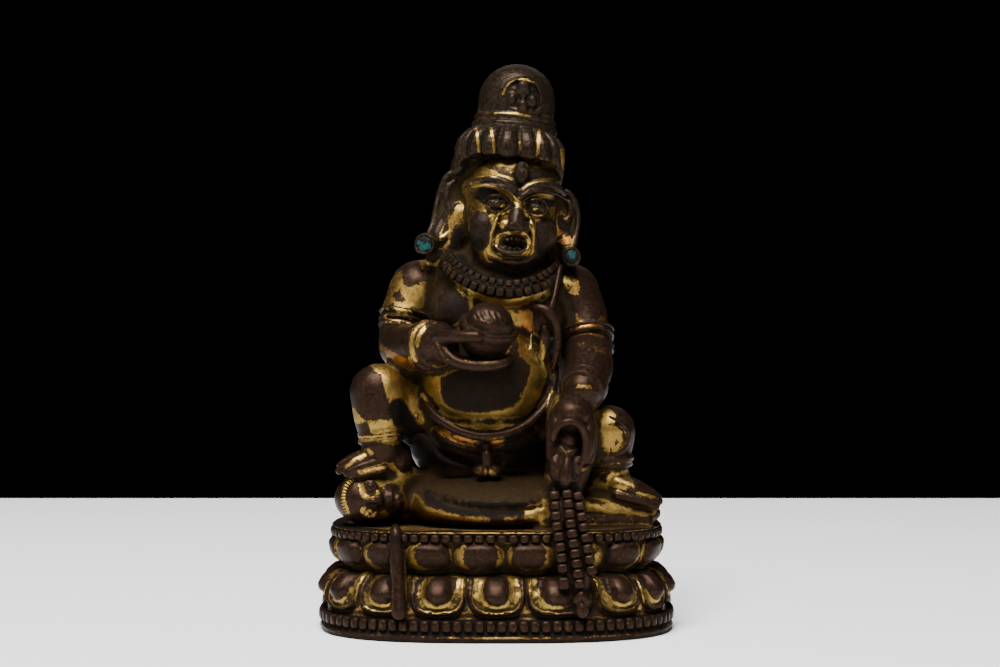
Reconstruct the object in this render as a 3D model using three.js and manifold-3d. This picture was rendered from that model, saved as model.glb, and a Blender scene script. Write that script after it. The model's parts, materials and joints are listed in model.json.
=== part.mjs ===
// Seated deity figure on a double lotus base, cast in one piece with its base,
// with a turquoise stone set in each ear ornament.
// Millimetres. +Z is up and the figure faces -Y, so the viewer's right is +X.
// The origin is the middle of the flat underside. "Right" and "left" in names are the figure's own.
import * as THREE from 'three';
import { mergeVertices } from 'three/addons/utils/BufferGeometryUtils.js';
import Module from 'manifold-3d';

const wasm = await Module();
wasm.setup();

// Driving sizes of the base
const BASE_HALF_WIDTH = 36.3;
const BASE_HALF_DEPTH = 25.5;
const PLAN_POWER = 2.8;
const TOP_PLATE_Z = 20.3;
const SEGMENTS_PER_PETAL = 3;
const FINE_STEPS = 2880;
const CHORD = 12;
const LOWER_PETALS = 18;
const UPPER_PETALS = 20;
const UPPER_SHIFT = -3.4;
const BOSS_RADIUS = 2.35;
const BOSS_Z = 8.6;
const BOSS_INSET = 2.4;
const BOSSES_FRONT_OF = 2;

// Outside of the two tiers of the base, from the floor up:
// height, how far in from the widest outline, and how far the petals stand out there
const LOWER_TIER = [
  [0, 0.7, 0], [2.0, 0, 0], [4.0, 0, 0], [4.9, 1.9, 0.2], [7.0, 2.3, 2.0], [10.4, 3.8, 1.8],
  [12.6, 5.3, 0],
];
const UPPER_TIER = [
  [12.4, 5.3, 0.2], [14.2, 4.8, 1.8], [17.4, 3.4, 1.4], [18.4, 2.5, 0], [TOP_PLATE_Z, 2.8, 0],
];

// Driving sizes of the figure
const TOTAL_HEIGHT = 115.6;
const HEAD_ORIGIN = [2.9, 2.5, 85];
const HEAD_YAW = 5;
const HEAD_ROLL = 5.5;
const HAIR_SHIFT = -1.2;
const HAIR_BACK = 0.8;
const HAIR_Z = 13.3;
const HAIR_HALF_SIZES = [11.5, 12, 5.4];
const HAIR_LOCKS = 18;
const LOCK_DEPTH = 0.045;
const TOPKNOT_AXIS = [-0.7, 2.2];
const TOPKNOT_RADIUS = 8.1;
// Topknot from its crown down: radius, then depth below the crown
const TOPKNOT_PROFILE = [
  [0, 0], [3.3, 0.6], [6.3, 2.7], [7.9, 6], [TOPKNOT_RADIUS, 11.2], [9.1, 11.9], [9.1, 13.6],
  [7, 16], [0, 16],
];
// Bowl in the right hand, from its foot up to its rim and over its heaped filling
const BOWL_PROFILE = [
  [0, -6], [3.4, -5], [5.2, -2.2], [5.7, 0.8], [4.9, 1.1], [4.4, 3], [2.6, 4.7], [0, 5.1],
];
const EAR_ORNAMENTS = {
  right: { centre: [-14.4, -1.9, 77.8], radius: 2.25, turn: -14 },
  left: { centre: [15.0, -1.9, 75.2], radius: 2.05, turn: 14 },
};
const ORNAMENT_LENGTH = 3.4;
const STONE_DEPTH = 0.9;
const STONE_GAP = 0.12;
const RIM_WIDTH = 0.6;

const SAME_POINT = 1e-4;
const rad = THREE.MathUtils.degToRad;
const { clamp, lerp } = THREE.MathUtils;
const vector = (p) => new THREE.Vector3(...p);
const mirrored = ([x, y, z, ...rest]) => [-x, y, z, ...rest];

// Turns a closed three.js geometry into a solid
function toSolid(geometry) {
  geometry.deleteAttribute('normal');
  geometry.deleteAttribute('uv');
  const merged = mergeVertices(geometry, SAME_POINT);
  const vertProperties = Float32Array.from(merged.attributes.position.array);
  const triVerts = Uint32Array.from(merged.index.array);
  return new wasm.Manifold(new wasm.Mesh({ numProp: 3, vertProperties, triVerts }));
}

function toGeometry(solid) {
  const mesh = solid.getMesh();
  const geometry = new THREE.BufferGeometry();
  geometry.setAttribute('position', new THREE.BufferAttribute(mesh.vertProperties, 3));
  geometry.setIndex(new THREE.BufferAttribute(mesh.triVerts, 1));
  return geometry;
}

const joinAll = (solids) => solids.reduce((whole, solid) => whole.add(solid));

// A turn by degrees about X, Y and Z, then a shift
function placing(turn, shift) {
  const matrix = new THREE.Matrix4().makeRotationFromEuler(new THREE.Euler(...turn.map(rad)));
  return matrix.setPosition(vector(shift));
}

// An ellipsoid from its centre and half sizes
function ball(centre, halfSizes, { columns = 8, rows = 5, frame = null } = {}) {
  const geometry = new THREE.SphereGeometry(1, columns, rows);
  geometry.rotateX(Math.PI / 2);
  geometry.scale(...halfSizes);
  geometry.translate(...centre);
  if (frame) geometry.applyMatrix4(frame);
  return toSolid(geometry);
}

// A form turned about its own Z, from a profile of radius and height that starts and ends on the axis
function turned(profile, segments, frame) {
  const points = profile.map(([radius, z]) => new THREE.Vector2(radius, z));
  const geometry = new THREE.LatheGeometry(points, segments);
  geometry.rotateX(Math.PI / 2);
  geometry.applyMatrix4(frame);
  return toSolid(turnedOut(geometry));
}

// Spread and reach of a limb's round end, at its tip, halfway and at its edge
const CAP = [[0, 1], [0.72, 0.7], [1, 0]];

// A round-ended limb: a sphere drawn out along a curve through stations of x, y, z and radius.
// flatten = [direction, share] presses its section thinner along that direction.
function limb(stations, { sides = 6, steps = 2, flatten = null, frame = null } = {}) {
  const spine = new THREE.CatmullRomCurve3(stations.map((s) => vector(s.slice(0, 3))));
  const last = stations.length - 1;
  const radiusAt = (t) => {
    const k = Math.min(Math.floor(t * last), last - 1);
    return lerp(stations[k][3], stations[k + 1][3], t * last - k);
  };
  const span = spine.getPoint(1).sub(spine.getPoint(0));
  const upright = Math.abs(span.z) > 0.7 * span.length() ? vector([1, 0, 0]) : vector([0, 0, 1]);
  const thin = flatten && vector(flatten[0]).normalize();
  const rings = steps + 4;
  const geometry = new THREE.SphereGeometry(1, sides, rings);
  const position = geometry.attributes.position;
  for (let i = 0; i < position.count; i += 1) {
    const ring = Math.floor(i / (sides + 1));
    const angle = (2 * Math.PI * (i % (sides + 1))) / sides;
    const [spread, reach] = CAP[Math.min(ring, rings - ring, 2)];
    const t = clamp((ring - 2) / steps, 0, 1);
    const tangent = spine.getTangent(t);
    const side = new THREE.Vector3().crossVectors(upright, tangent).normalize();
    const up = new THREE.Vector3().crossVectors(tangent, side);
    const offset = side.multiplyScalar(Math.cos(angle) * spread);
    offset.addScaledVector(up, Math.sin(angle) * spread);
    offset.addScaledVector(tangent, ring < 2 ? -reach : reach);
    if (thin) offset.addScaledVector(thin, (flatten[1] - 1) * offset.dot(thin));
    const at = spine.getPoint(t).addScaledVector(offset, radiusAt(t));
    position.setXYZ(i, at.x, at.y, at.z);
  }
  if (frame) geometry.applyMatrix4(frame);
  return toSolid(turnedOut(geometry));
}

// A point of the base's plan, a rounded oblong
function planPoint(angle) {
  const axis = (direction, half) => Math.sign(direction) * half * Math.abs(direction) ** (2 / PLAN_POWER);
  return [axis(Math.cos(angle), BASE_HALF_WIDTH), axis(Math.sin(angle), BASE_HALF_DEPTH)];
}

// Even steps along the plan's outline, each with its outward direction. The first is at the middle
// of the front, moved on by a length and by a share of a step.
function alongPlan(count, shift, share = 0) {
  const turn = (k) => (2 * Math.PI * k) / FINE_STEPS - Math.PI / 2;
  const outline = Array.from({ length: FINE_STEPS }, (_, k) => planPoint(turn(k)));
  const lengths = [0];
  outline.forEach(([ax, ay], k) => {
    const [bx, by] = outline[(k + 1) % FINE_STEPS];
    lengths.push(lengths[k] + Math.hypot(bx - ax, by - ay));
  });
  const total = lengths[FINE_STEPS];
  return Array.from({ length: count }, (_, n) => {
    const wanted = (((n + share) * total) / count + shift + total) % total;
    const k = lengths.findIndex((reached) => reached >= wanted) % FINE_STEPS;
    const [ahead, behind] = [CHORD, FINE_STEPS - CHORD].map((step) => outline[(k + step) % FINE_STEPS]);
    const bearing = Math.atan2(ahead[1] - behind[1], ahead[0] - behind[0]);
    return { x: outline[k][0], y: outline[k][1], outward: [Math.sin(bearing), -Math.cos(bearing)] };
  });
}

// One tier of the base: a lathe form whose rings follow the plan and swell into petals
function baseTier(profile, petals, shift) {
  const segments = petals * SEGMENTS_PER_PETAL;
  const outline = alongPlan(segments, shift, -SEGMENTS_PER_PETAL / 2);
  const [bottom, top] = [profile[0][0], profile[profile.length - 1][0]];
  const rings = [[bottom, null], ...profile, [top, null]];
  const lathe = rings.map(([z, inset]) => new THREE.Vector2(inset === null ? 0 : 1, z));
  const geometry = new THREE.LatheGeometry(lathe, segments);
  const position = geometry.attributes.position;
  for (let i = 0; i < position.count; i += 1) {
    const [z, inset, swell] = rings[i % rings.length];
    const column = Math.floor(i / rings.length) % segments;
    const { x, y, outward } = outline[column];
    const edge = column % SEGMENTS_PER_PETAL === 0;
    const out = (edge ? 0 : swell) - inset;
    const at = inset === null ? [0, 0] : [x + out * outward[0], y + out * outward[1]];
    position.setXYZ(i, ...at, z);
  }
  return toSolid(turnedOut(geometry));
}

// Makes a closed geometry face outwards where swapping its axes has turned it inside out
function turnedOut(geometry) {
  const index = geometry.index.array;
  const corner = (k) => new THREE.Vector3().fromBufferAttribute(geometry.attributes.position, index[k]);
  let volume = 0;
  for (let i = 0; i < index.length; i += 3) {
    volume += corner(i).dot(corner(i + 1).cross(corner(i + 2)));
  }
  if (volume < 0) {
    for (let i = 0; i < index.length; i += 3) [index[i], index[i + 1]] = [index[i + 1], index[i]];
  }
  return geometry;
}

// Two tiers of petals, with a round boss on each lower petal that shows from the front or the ends
function lotusBase() {
  const bosses = alongPlan(LOWER_PETALS, 0).filter(({ y }) => y < BOSSES_FRONT_OF);
  return [
    baseTier(LOWER_TIER, LOWER_PETALS, 0),
    baseTier(UPPER_TIER, UPPER_PETALS, UPPER_SHIFT),
    ...bosses.map(({ x, y, outward: [ox, oy] }) => {
      const centre = [x - BOSS_INSET * ox, y - BOSS_INSET * oy, BOSS_Z];
      return ball(centre, [BOSS_RADIUS, BOSS_RADIUS, BOSS_RADIUS], { columns: 6, rows: 4 });
    }),
  ];
}

// The prone figure under the deity: its head under the raised foot, its legs to the other side
function proneFigure() {
  const trunk = ball([0.5, -1.2, 25.2], [20, 19, 6.6], { columns: 12, rows: 6 });
  const skull = ball([-26.6, -9.8, 26.3], [6.4, 6.3, 5.2], { columns: 9, rows: 5 });
  const neck = [[-23, -6.5, 25.5, 4.6], [-12, -1, 26, 6.5]];
  const upperLeg = [[9, -11.5, 24, 4.2], [20, -11, 24, 2.9], [31.4, -8.6, 23.4, 1.8]];
  const lowerLeg = [[9, -15.5, 22.4, 3], [20, -14.6, 22.2, 2.1], [30, -11.4, 21.7, 1.5]];
  return [trunk, skull, ...[neck, upperLeg, lowerLeg].map((stations) => limb(stations))];
}

// A flat strap from the prone figure's mouth over the edge and down the base
function strap() {
  const front = [
    [-21.4, -14.4, 24.6, 1.2], [-20, -19.2, 22.4, 1.25], [-19.6, -21.6, 20, 1.25],
    [-19, -22.2, 15, 1.25], [-18.4, -22.8, 10, 1.3], [-17.8, -23.4, 6.4, 1.6],
  ];
  const backing = [[-19.2, -19.8, 19.2, 1.2], [-18.4, -20.6, 9, 1.6]];
  return [limb(front, { sides: 5, steps: 4 }), limb(backing, { sides: 5, steps: 1 })];
}

// Pot belly, chest, back and seat, and the loin knot
function torso() {
  const round = { columns: 10, rows: 6 };
  return [
    ball([-1.5, 5, 35.5], [16.5, 14.5, 8.5], round),
    ball([-1.8, -1, 49.3], [14.8, 15, 12.2], { columns: 12, rows: 7 }),
    ball([-1.6, -2, 39.3], [13.6, 12, 6.2]),
    ball([0.8, 4, 63.5], [15.6, 11.6, 10.8], round),
    ball([-0.3, 8.5, 53], [15, 10, 19], round),
    ball([-7.6, -4.4, 63.6], [6.2, 4.4, 5.8], { columns: 6, rows: 4 }),
    limb([[-14.5, 5.5, 70, 5], [1.5, 5, 74, 6], [14, 5.5, 69.6, 5]]),
    limb([[-1.9, -12.4, 37.6, 1.1], [-1.9, -13.4, 33.2, 1.2]], { sides: 6, steps: 1 }),
    ball([-1.8, -12.4, 31.9], [2.7, 2.2, 1.5], { columns: 6, rows: 4 }),
  ];
}

// The plain cord that runs round under the belly, and the one down the left side of the chest
function cords() {
  const belly = [
    [-12.8, 1.5, 56.5, 0.8], [-15.2, -5.5, 49.5, 0.9], [-12.4, -12, 43, 0.9], [-7, -14.8, 40, 0.9],
    [-1.8, -15.4, 39.1, 0.9], [4, -14.4, 40.2, 0.9], [8.8, -11.4, 43.6, 0.9],
    [11.6, -7.2, 50, 0.9], [11.8, -4.6, 57, 0.8],
  ];
  const chest = [
    [13, -3.4, 73, 0.75], [11.9, -5.8, 68.4, 0.75], [10.6, -7.6, 64.2, 0.8], [11.6, -7.4, 60.5, 0.9],
    [12, -6, 56.5, 0.9],
  ];
  return [limb(belly, { sides: 4, steps: 10 }), limb(chest, { sides: 4, steps: 4 })];
}

// Right leg drawn up with its foot on the prone figure's head, left leg folded out to the side
function legs() {
  const round = { sides: 7 };
  const rightThigh = [[-7, 7, 37.5, 8.2], [-15, 0, 43, 7.2], [-21.5, -6, 46.8, 5.8]];
  const rightShin = [[-23.6, -9, 47.6, 6], [-23.6, -10, 42.5, 5], [-22.8, -10, 36, 3.8]];
  const rightFoot = [[-20, -8.4, 33.9, 3.1], [-25, -10.4, 33.9, 2.8], [-30.6, -12, 32.3, 1.6]];
  const leftThigh = [[5, 7, 36.5, 8.2], [14, 0.5, 38.6, 7], [20.8, -5.2, 39.4, 5.6]];
  const leftShin = [[22.7, -7.6, 39.7, 5.5], [22.8, -8.2, 35, 4.4], [22.6, -8, 30.5, 3.6]];
  const leftFoot = [[20, -7.2, 28.6, 3.2], [26.5, -9.2, 28.2, 2.7], [32.6, -9, 26.5, 1.3]];
  const underLeftShin = [[16, -1, 29.5, 5.2], [27, -4.5, 25.8, 3.6]];
  return [
    ...[rightThigh, rightShin, leftThigh, leftShin].map((stations) => limb(stations, round)),
    ...[rightFoot, leftFoot, underLeftShin].map((stations) => limb(stations)),
    ball([-20.5, -5, 29.8], [5.2, 5.8, 4]),
  ];
}

// Right arm bent forwards at the waist, its hand round a bowl with a heaped filling
function rightArm() {
  const bowl = placing([24, 14, 0], [-1.7, -19.6, 60.0]);
  const upperArm = [[-16.2, 4.4, 68.8, 6.3], [-19, 2, 62.5, 5.3], [-19.4, -0.8, 57, 5]];
  const forearm = [[-19.3, -1, 56.8, 5], [-16.8, -8, 56.6, 4.9], [-11.4, -15.8, 57.3, 4.4]];
  const thumb = [[-9.2, -18.4, 59.4, 2], [-6, -22.6, 59.5, 1.5], [-2.2, -24.2, 59.2, 1.2]];
  const againstChest = [[-4, -8, 57, 5], [-2.4, -15, 57.4, 3.8]];
  const finger = [
    [-8.8, -18.6, 56.2, 2], [-6.4, -22, 53.2, 1.5], [-1.6, -23.4, 52, 1.3], [2.8, -22.6, 54.8, 1.1],
  ];
  const fingerRows = [0, 2.8].map((back) => finger.map(([x, y, z, r]) => [x, y + back, z, r]));
  return [
    ...[upperArm, forearm].map((stations) => limb(stations, { sides: 7 })),
    ...[thumb, againstChest].map((stations) => limb(stations, { sides: 6 })),
    ...fingerRows.map((stations) => limb(stations, { sides: 5, steps: 3 })),
    turned(BOWL_PROFILE, 10, bowl),
  ];
}

// Left arm resting on the thigh, its hand round a mongoose's head
function leftArm() {
  const upperArm = [[15.4, 4.6, 68.2, 6.2], [18, 2.6, 62.5, 5.2], [18.8, 0, 56.6, 5]];
  const forearm = [[18.7, -0.2, 56.2, 5], [18.6, -7.4, 52.6, 5], [17, -14.8, 48.2, 4.3]];
  const innerFinger = [[12.2, -18.4, 43.6, 2.6], [10.6, -20.2, 40, 1.8], [10.2, -20.4, 36, 1.4]];
  const outerFinger = [[18, -18, 43.2, 2.8], [19.6, -18.8, 39.6, 2.1], [19, -19.2, 35.8, 1.5]];
  const overThigh = [[15, -10, 43, 5.4], [14.6, -13, 35, 5], [13, -15.5, 29, 4.4]];
  return [
    ...[upperArm, forearm].map((stations) => limb(stations, { sides: 7 })),
    ...[innerFinger, outerFinger].map((stations) => limb(stations, { sides: 6 })),
    limb(overThigh),
    ball([15.3, -17.4, 44.4], [5, 4.8, 5]),
    ball([13.2, -19.6, 34.8], [3.8, 3.7, 5.8], { columns: 8, rows: 6 }),
  ];
}

// Three strings of jewels poured from the mongoose's mouth over the base
function jewelStrings() {
  const shape = { sides: 5, steps: 3 };
  const inner = [[11, -20.2, 28.6, 0.9], [11.4, -22.4, 24, 0.9], [12.2, -23.2, 18, 0.9], [13.1, -24, 11.5, 1]];
  const middle = [[13.4, -20.6, 28.6, 1], [14.1, -22.6, 24, 1], [15, -23.2, 17, 1], [16.5, -24, 8, 1.3]];
  const outer = [[15.1, -20, 28.4, 0.9], [16, -22, 24, 0.9], [17.2, -22.9, 18, 0.9], [18.3, -23.6, 11, 1]];
  const behind = [[12, -17, 26, 3], [13, -19.5, 19.6, 2.4], [15, -20.5, 9.4, 3.4]];
  return [...[inner, middle, outer].map((stations) => limb(stations, shape)), limb(behind, { sides: 6 })];
}

// Head, face, hair and topknot, in the head's own frame with its origin in mid skull
function head() {
  const frame = placing([0, HEAD_ROLL, HEAD_YAW], HEAD_ORIGIN);
  const small = { columns: 6, rows: 4, frame };
  const thin = { sides: 4, frame };
  const brow = [[0.9, -11, 1.9, 1], [4.2, -10.4, 4.1, 1.1], [8, -7.4, 4.4, 0.8]];
  const nose = [[0, -10.6, 2, 1.2], [0, -11.8, -1.4, 1.3], [0, -12.4, -4.4, 1.8]];
  return [
    ball([0, 1, 0], [9.5, 12, 12], { columns: 10, rows: 6, frame }),
    ball([-0.6, 5, 4.5], [11, 10.3, 11.5], { columns: 8, rows: 5, frame }),
    hairLocks(frame),
    ...topknot(frame),
    ball([0, -8.6, -9.4], [4, 3, 2.3], small),
    ball([0, -4.6, -10.8], [7.2, 6.4, 3.2], small),
    limb([[0, 1, -6, 8], [-0.4, 2, -13, 7.6]], { sides: 8, steps: 1, frame }),
    ball([0, -9.4, -6.9], [4.3, 2.6, 3.4], small),
    ball([4, -9.4, 0.2], [2.2, 1.7, 1.5], small),
    ball([-4, -9.4, 0.2], [2.2, 1.7, 1.5], small),
    ...[nose, brow, brow.map(mirrored)].map((stations) => limb(stations, thin)),
  ];
}

// Roll of upright locks above the forehead, right round the head
function hairLocks(frame) {
  const hair = new THREE.SphereGeometry(1, HAIR_LOCKS * 2, 4);
  const position = hair.attributes.position;
  for (let i = 0; i < position.count; i += 1) {
    const [x, z, y] = [position.getX(i), position.getY(i), position.getZ(i)];
    const lobe = 1 + LOCK_DEPTH * Math.abs(Math.cos((HAIR_LOCKS * Math.atan2(y, x)) / 2));
    const squared = Math.min(Math.max(Math.hypot(x, y), 0.01) ** -0.4, 1.3) * lobe;
    const [halfWidth, halfDepth, halfHeight] = HAIR_HALF_SIZES;
    const [across, along] = [halfWidth * x * squared, halfDepth * y * squared];
    position.setXYZ(i, HAIR_SHIFT + across, HAIR_BACK + along, HAIR_Z + halfHeight * z);
  }
  hair.applyMatrix4(frame);
  return toSolid(turnedOut(hair));
}

// Domed topknot with a tied band below it and a small arched shrine on its front
function topknot(frame) {
  const crown = (TOTAL_HEIGHT - HEAD_ORIGIN[2]) / Math.cos(rad(HEAD_ROLL));
  const [x, y] = TOPKNOT_AXIS;
  const [front, shrineX, shrineZ] = [y - TOPKNOT_RADIUS, x + 0.5, crown - 8];
  const axis = placing([0, 0, 0], [x, y, 0]);
  const arch = [[-3, 0.6, 0, 0.6], [0, -0.3, 4.4, 0.6], [3, 0.6, 0, 0.6]];
  return [
    turned(TOPKNOT_PROFILE.map(([r, z]) => [r, crown - z]), 10, frame.clone().multiply(axis)),
    limb(arch.map(([ax, ay, az, r]) => [shrineX + ax, front + ay, shrineZ + az, r]), { sides: 5, frame }),
    ball([shrineX, front + 0.4, shrineZ], [1.8, 1.4, 2.9], { columns: 6, rows: 4, frame }),
  ];
}

// Long flat ears that run down into the ear ornaments, joined to the neck and shoulders behind
function ears() {
  const right = [
    [-8.4, 5.6, 91, 2.6], [-10.2, 4.8, 86.4, 3], [-12.2, 2.2, 81, 2.4], [-13.9, -0.3, 78.4, 1.6],
  ];
  const left = [
    [13.4, 5.6, 87.2, 2.4], [14.9, 5, 83, 2.8], [15, 2.4, 78.6, 2.2], [14.9, -0.1, 75.9, 1.6],
  ];
  const behindRight = [[-7, 4, 84, 4], [-11, 3.6, 76, 3.6], [-13, 4, 71, 3.6]];
  const behindLeft = [[12, 4.4, 82, 4], [13, 4.4, 74, 3.6]];
  return [
    limb(right, { sides: 6, steps: 3, flatten: [[0.35, 1, 0], 0.55] }),
    limb(left, { sides: 6, steps: 3, flatten: [[-0.35, 1, 0], 0.55] }),
    ...[behindRight, behindLeft].map((stations) => limb(stations, { sides: 6 })),
  ];
}

// Collar-like necklace, from the nape round the front and back to the nape
function necklace() {
  const route = [
    [4, 13.1, 75.5, 1.4], [-5, 11.5, 75.8, 1.4], [-9.8, 4.5, 74.6, 1.5], [-8.6, -3.5, 71.6, 1.6],
    [-3.8, -8.1, 68.8, 1.7], [3, -9.5, 67.6, 1.7], [9, -6.7, 69.2, 1.6],
    [12, -0.5, 71.6, 1.5], [11.2, 7.5, 74, 1.4], [3, 13.3, 75.5, 1.4],
  ];
  return [limb(route, { sides: 4, steps: 12 })];
}

// A drum on an ear ornament's axis: its body, the recess in its face, or the stone in the recess
function drum({ centre, radius, turn }, inset, from, to) {
  const geometry = new THREE.CylinderGeometry(radius - inset, radius - inset, to - from, 12);
  geometry.translate(0, (from + to) / 2, 0);
  geometry.rotateX(Math.PI);
  geometry.rotateZ(rad(turn));
  geometry.translate(...centre);
  return toSolid(geometry);
}
const FACE = ORNAMENT_LENGTH / 2;
const ornamentBody = (place) => drum(place, 0, -FACE, FACE);
const recess = (place) => drum(place, RIM_WIDTH, FACE - STONE_DEPTH, FACE + 1);
const stone = (place) => drum(place, RIM_WIDTH + STONE_GAP, FACE - STONE_DEPTH + STONE_GAP, FACE - STONE_GAP);

// The whole casting: every form joined into one, then cut for the stones
function casting() {
  const places = Object.values(EAR_ORNAMENTS);
  const joined = joinAll([
    ...lotusBase(), ...proneFigure(), ...strap(), ...torso(), ...cords(), ...legs(), ...rightArm(),
    ...leftArm(), ...jewelStrings(), ...head(), ...ears(), ...necklace(), ...places.map(ornamentBody),
  ]);
  return places.reduce((solid, place) => solid.subtract(recess(place)), joined);
}

function namedMesh(name, solid, look) {
  const mesh = new THREE.Mesh(toGeometry(solid), new THREE.MeshStandardMaterial(look));
  mesh.name = name;
  return mesh;
}

const GILT_BRONZE = { color: 0x9c7a36, roughness: 0.42, metalness: 0.9 };
const TURQUOISE = { color: 0x2b8f93, roughness: 0.45, metalness: 0 };

const figure = new THREE.Group();
figure.add(namedMesh('gilt_bronze_casting', casting(), GILT_BRONZE));
figure.add(namedMesh('turquoise_right', stone(EAR_ORNAMENTS.right), TURQUOISE));
figure.add(namedMesh('turquoise_left', stone(EAR_ORNAMENTS.left), TURQUOISE));

export default figure;
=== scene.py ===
"""The looks of a small gilt bronze deity figure, cast in one with its lotus base, and its two set stones.

Sizes and places are millimetres, in the frame of the part: +Z is up and the figure faces -Y.
"Right" and "left" in names are the figure's own. The finished meshes are brought to metres at the end.
"""

import json
import math

import bmesh
import bpy
import numpy as np
from mathutils import Matrix, Vector, noise
from mathutils.bvhtree import BVHTree

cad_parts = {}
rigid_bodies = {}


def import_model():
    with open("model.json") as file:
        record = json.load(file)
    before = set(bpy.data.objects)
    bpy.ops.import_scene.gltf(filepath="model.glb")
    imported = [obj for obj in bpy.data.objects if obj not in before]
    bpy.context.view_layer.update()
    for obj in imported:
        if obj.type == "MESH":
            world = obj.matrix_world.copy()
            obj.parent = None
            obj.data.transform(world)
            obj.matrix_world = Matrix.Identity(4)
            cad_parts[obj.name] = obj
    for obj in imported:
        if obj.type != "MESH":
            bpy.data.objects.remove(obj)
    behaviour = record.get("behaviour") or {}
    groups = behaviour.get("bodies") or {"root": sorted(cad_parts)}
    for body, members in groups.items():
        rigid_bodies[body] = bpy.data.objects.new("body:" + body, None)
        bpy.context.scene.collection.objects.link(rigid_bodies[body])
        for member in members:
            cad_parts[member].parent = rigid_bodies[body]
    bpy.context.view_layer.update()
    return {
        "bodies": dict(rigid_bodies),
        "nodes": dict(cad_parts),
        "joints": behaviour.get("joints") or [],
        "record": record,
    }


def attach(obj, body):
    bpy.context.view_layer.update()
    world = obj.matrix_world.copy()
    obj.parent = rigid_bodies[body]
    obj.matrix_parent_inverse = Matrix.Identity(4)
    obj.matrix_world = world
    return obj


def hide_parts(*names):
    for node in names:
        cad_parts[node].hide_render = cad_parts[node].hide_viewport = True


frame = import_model()

MM = 0.001
UPRIGHT = Matrix.Identity(4)

# How finely the skin is made
BODY_VOXEL = 0.6
SKIN_VOXEL = 0.24
TRIANGLES = 190000
SHELTER_RAYS = 16
SHELTER_REACH = 9.0
CAP_RINGS = 4

# Table and camera, in metres
TABLE_HALF_WIDTH = 1.3
TABLE_BACK = 0.30
TABLE_FRONT = -1.6
TABLE_THICKNESS = 0.03
CAMERA_PLACE = (0.0007, -0.350, 0.056)
CAMERA_TILT = 0.58
FOCAL_PIXELS = 1700
PHOTO_WIDTH = 1000
SENSOR = 36

# The base
BASE_HALF_WIDTH = 36.3
BASE_HALF_DEPTH = 25.5
PLAN_POWER = 2.8
TOP_PLATE_Z = 21.1
LOWER_PETALS = 18
UPPER_PETALS = 20
UPPER_SHIFT = -3.4
PETALS_MEET = 13
UPPER_MIDDLE = 16.2
UPPER_RISE = 2.75
UPPER_DROP = 3.6
PLATE_EDGE = 18.9
LOWER_BEADS = 97
UPPER_BEADS = 94
BASE_STEP = 0.26

# Outside of the base from the floor up, between its petals and beads: height, and how far in from the plan
BASE_PROFILE = [
    (0, 1.1), (0.25, 0.75), (0.8, 0.45), (1.2, 0.45), (1.45, 0.85), (1.7, 0.8), (1.9, 1.25), (2.1, 1.2),
    (4.3, 1.3), (4.5, 1.8), (4.75, 2.3), (5.1, 2.5), (7.0, 2.5), (9.0, 3.0), (10.6, 4.0), (12.0, 5.3),
    (12.7, 6.3), (13.1, 6.5), (13.6, 6.0), (14.6, 4.9), (16.0, 4.2), (17.6, 3.9), (18.7, 3.9), (19.1, 3.6),
    (20.55, 3.5), (20.75, 3.0), (20.9, 2.7), (21.0, 2.8), (TOP_PLATE_Z, 3.2),
]

# The head, whose own frame has its origin in mid skull
HEAD_ORIGIN = (2.9, 2.5, 85)
HEAD_ROLL = 5.5
HEAD_YAW = 5
TOTAL_HEIGHT = 115.6
CROWN = (TOTAL_HEIGHT - HEAD_ORIGIN[2]) / math.cos(math.radians(HEAD_ROLL))
TOPKNOT_AXIS = (-0.7, 2.2)
TOPKNOT_RADIUS = 8.1
TOPKNOT_PROFILE = [
    (0, 0), (1.8, 0.15), (3.4, 0.65), (5.0, 1.6), (6.3, 2.8), (7.3, 4.4), (7.9, 6.2), (8.1, 8.6),
    (7.9, 11.2), (7.6, 12.2), (7.6, 16), (0, 16),
]
HAIR_CENTRE = (-1.2, 0.8)
HAIR_HALF_SIZES = (11.6, 11.5)
HAIR_LOCKS = 18
LOCK_DEPTH = 2.0
LOCK_START = math.radians(3.5)
COMB_LINES = 6
TOPKNOT_NICKS = 44
HAIR_HEM_Z = 95
HAIR_NAPE_Z = 88

# Hair from under its hem up to the topknot: how far up (-1 to 1), share of the half size, height
HAIR_PROFILE = [
    (-1, 0, 11.4), (-0.72, 0.82, 11.2), (-0.6, 0.93, 10.9), (-0.5, 0.985, 11.0), (-0.38, 1.0, 11.5),
    (-0.1, 1.0, 12.6), (0.15, 0.97, 13.8), (0.4, 0.89, 15.2), (0.6, 0.79, 16.2), (0.75, 0.7, 16.7),
    (1, 0, 17.2),
]

# Bowl in the right hand, from its foot up over its rim to its heaped filling
BOWL_PROFILE = [
    (0, -6), (1.8, -5.8), (3.4, -5), (4.5, -3.6), (5.0, -2.2), (5.3, -0.9), (5.8, 0.0), (6.0, 0.7),
    (5.8, 1.3), (5.3, 1.4), (5.0, 0.9), (4.8, 0.9), (4.7, 1.5), (4.4, 2.9), (3.6, 4.1), (2.4, 4.8),
    (1.2, 5.1), (0, 5.1),
]

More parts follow.
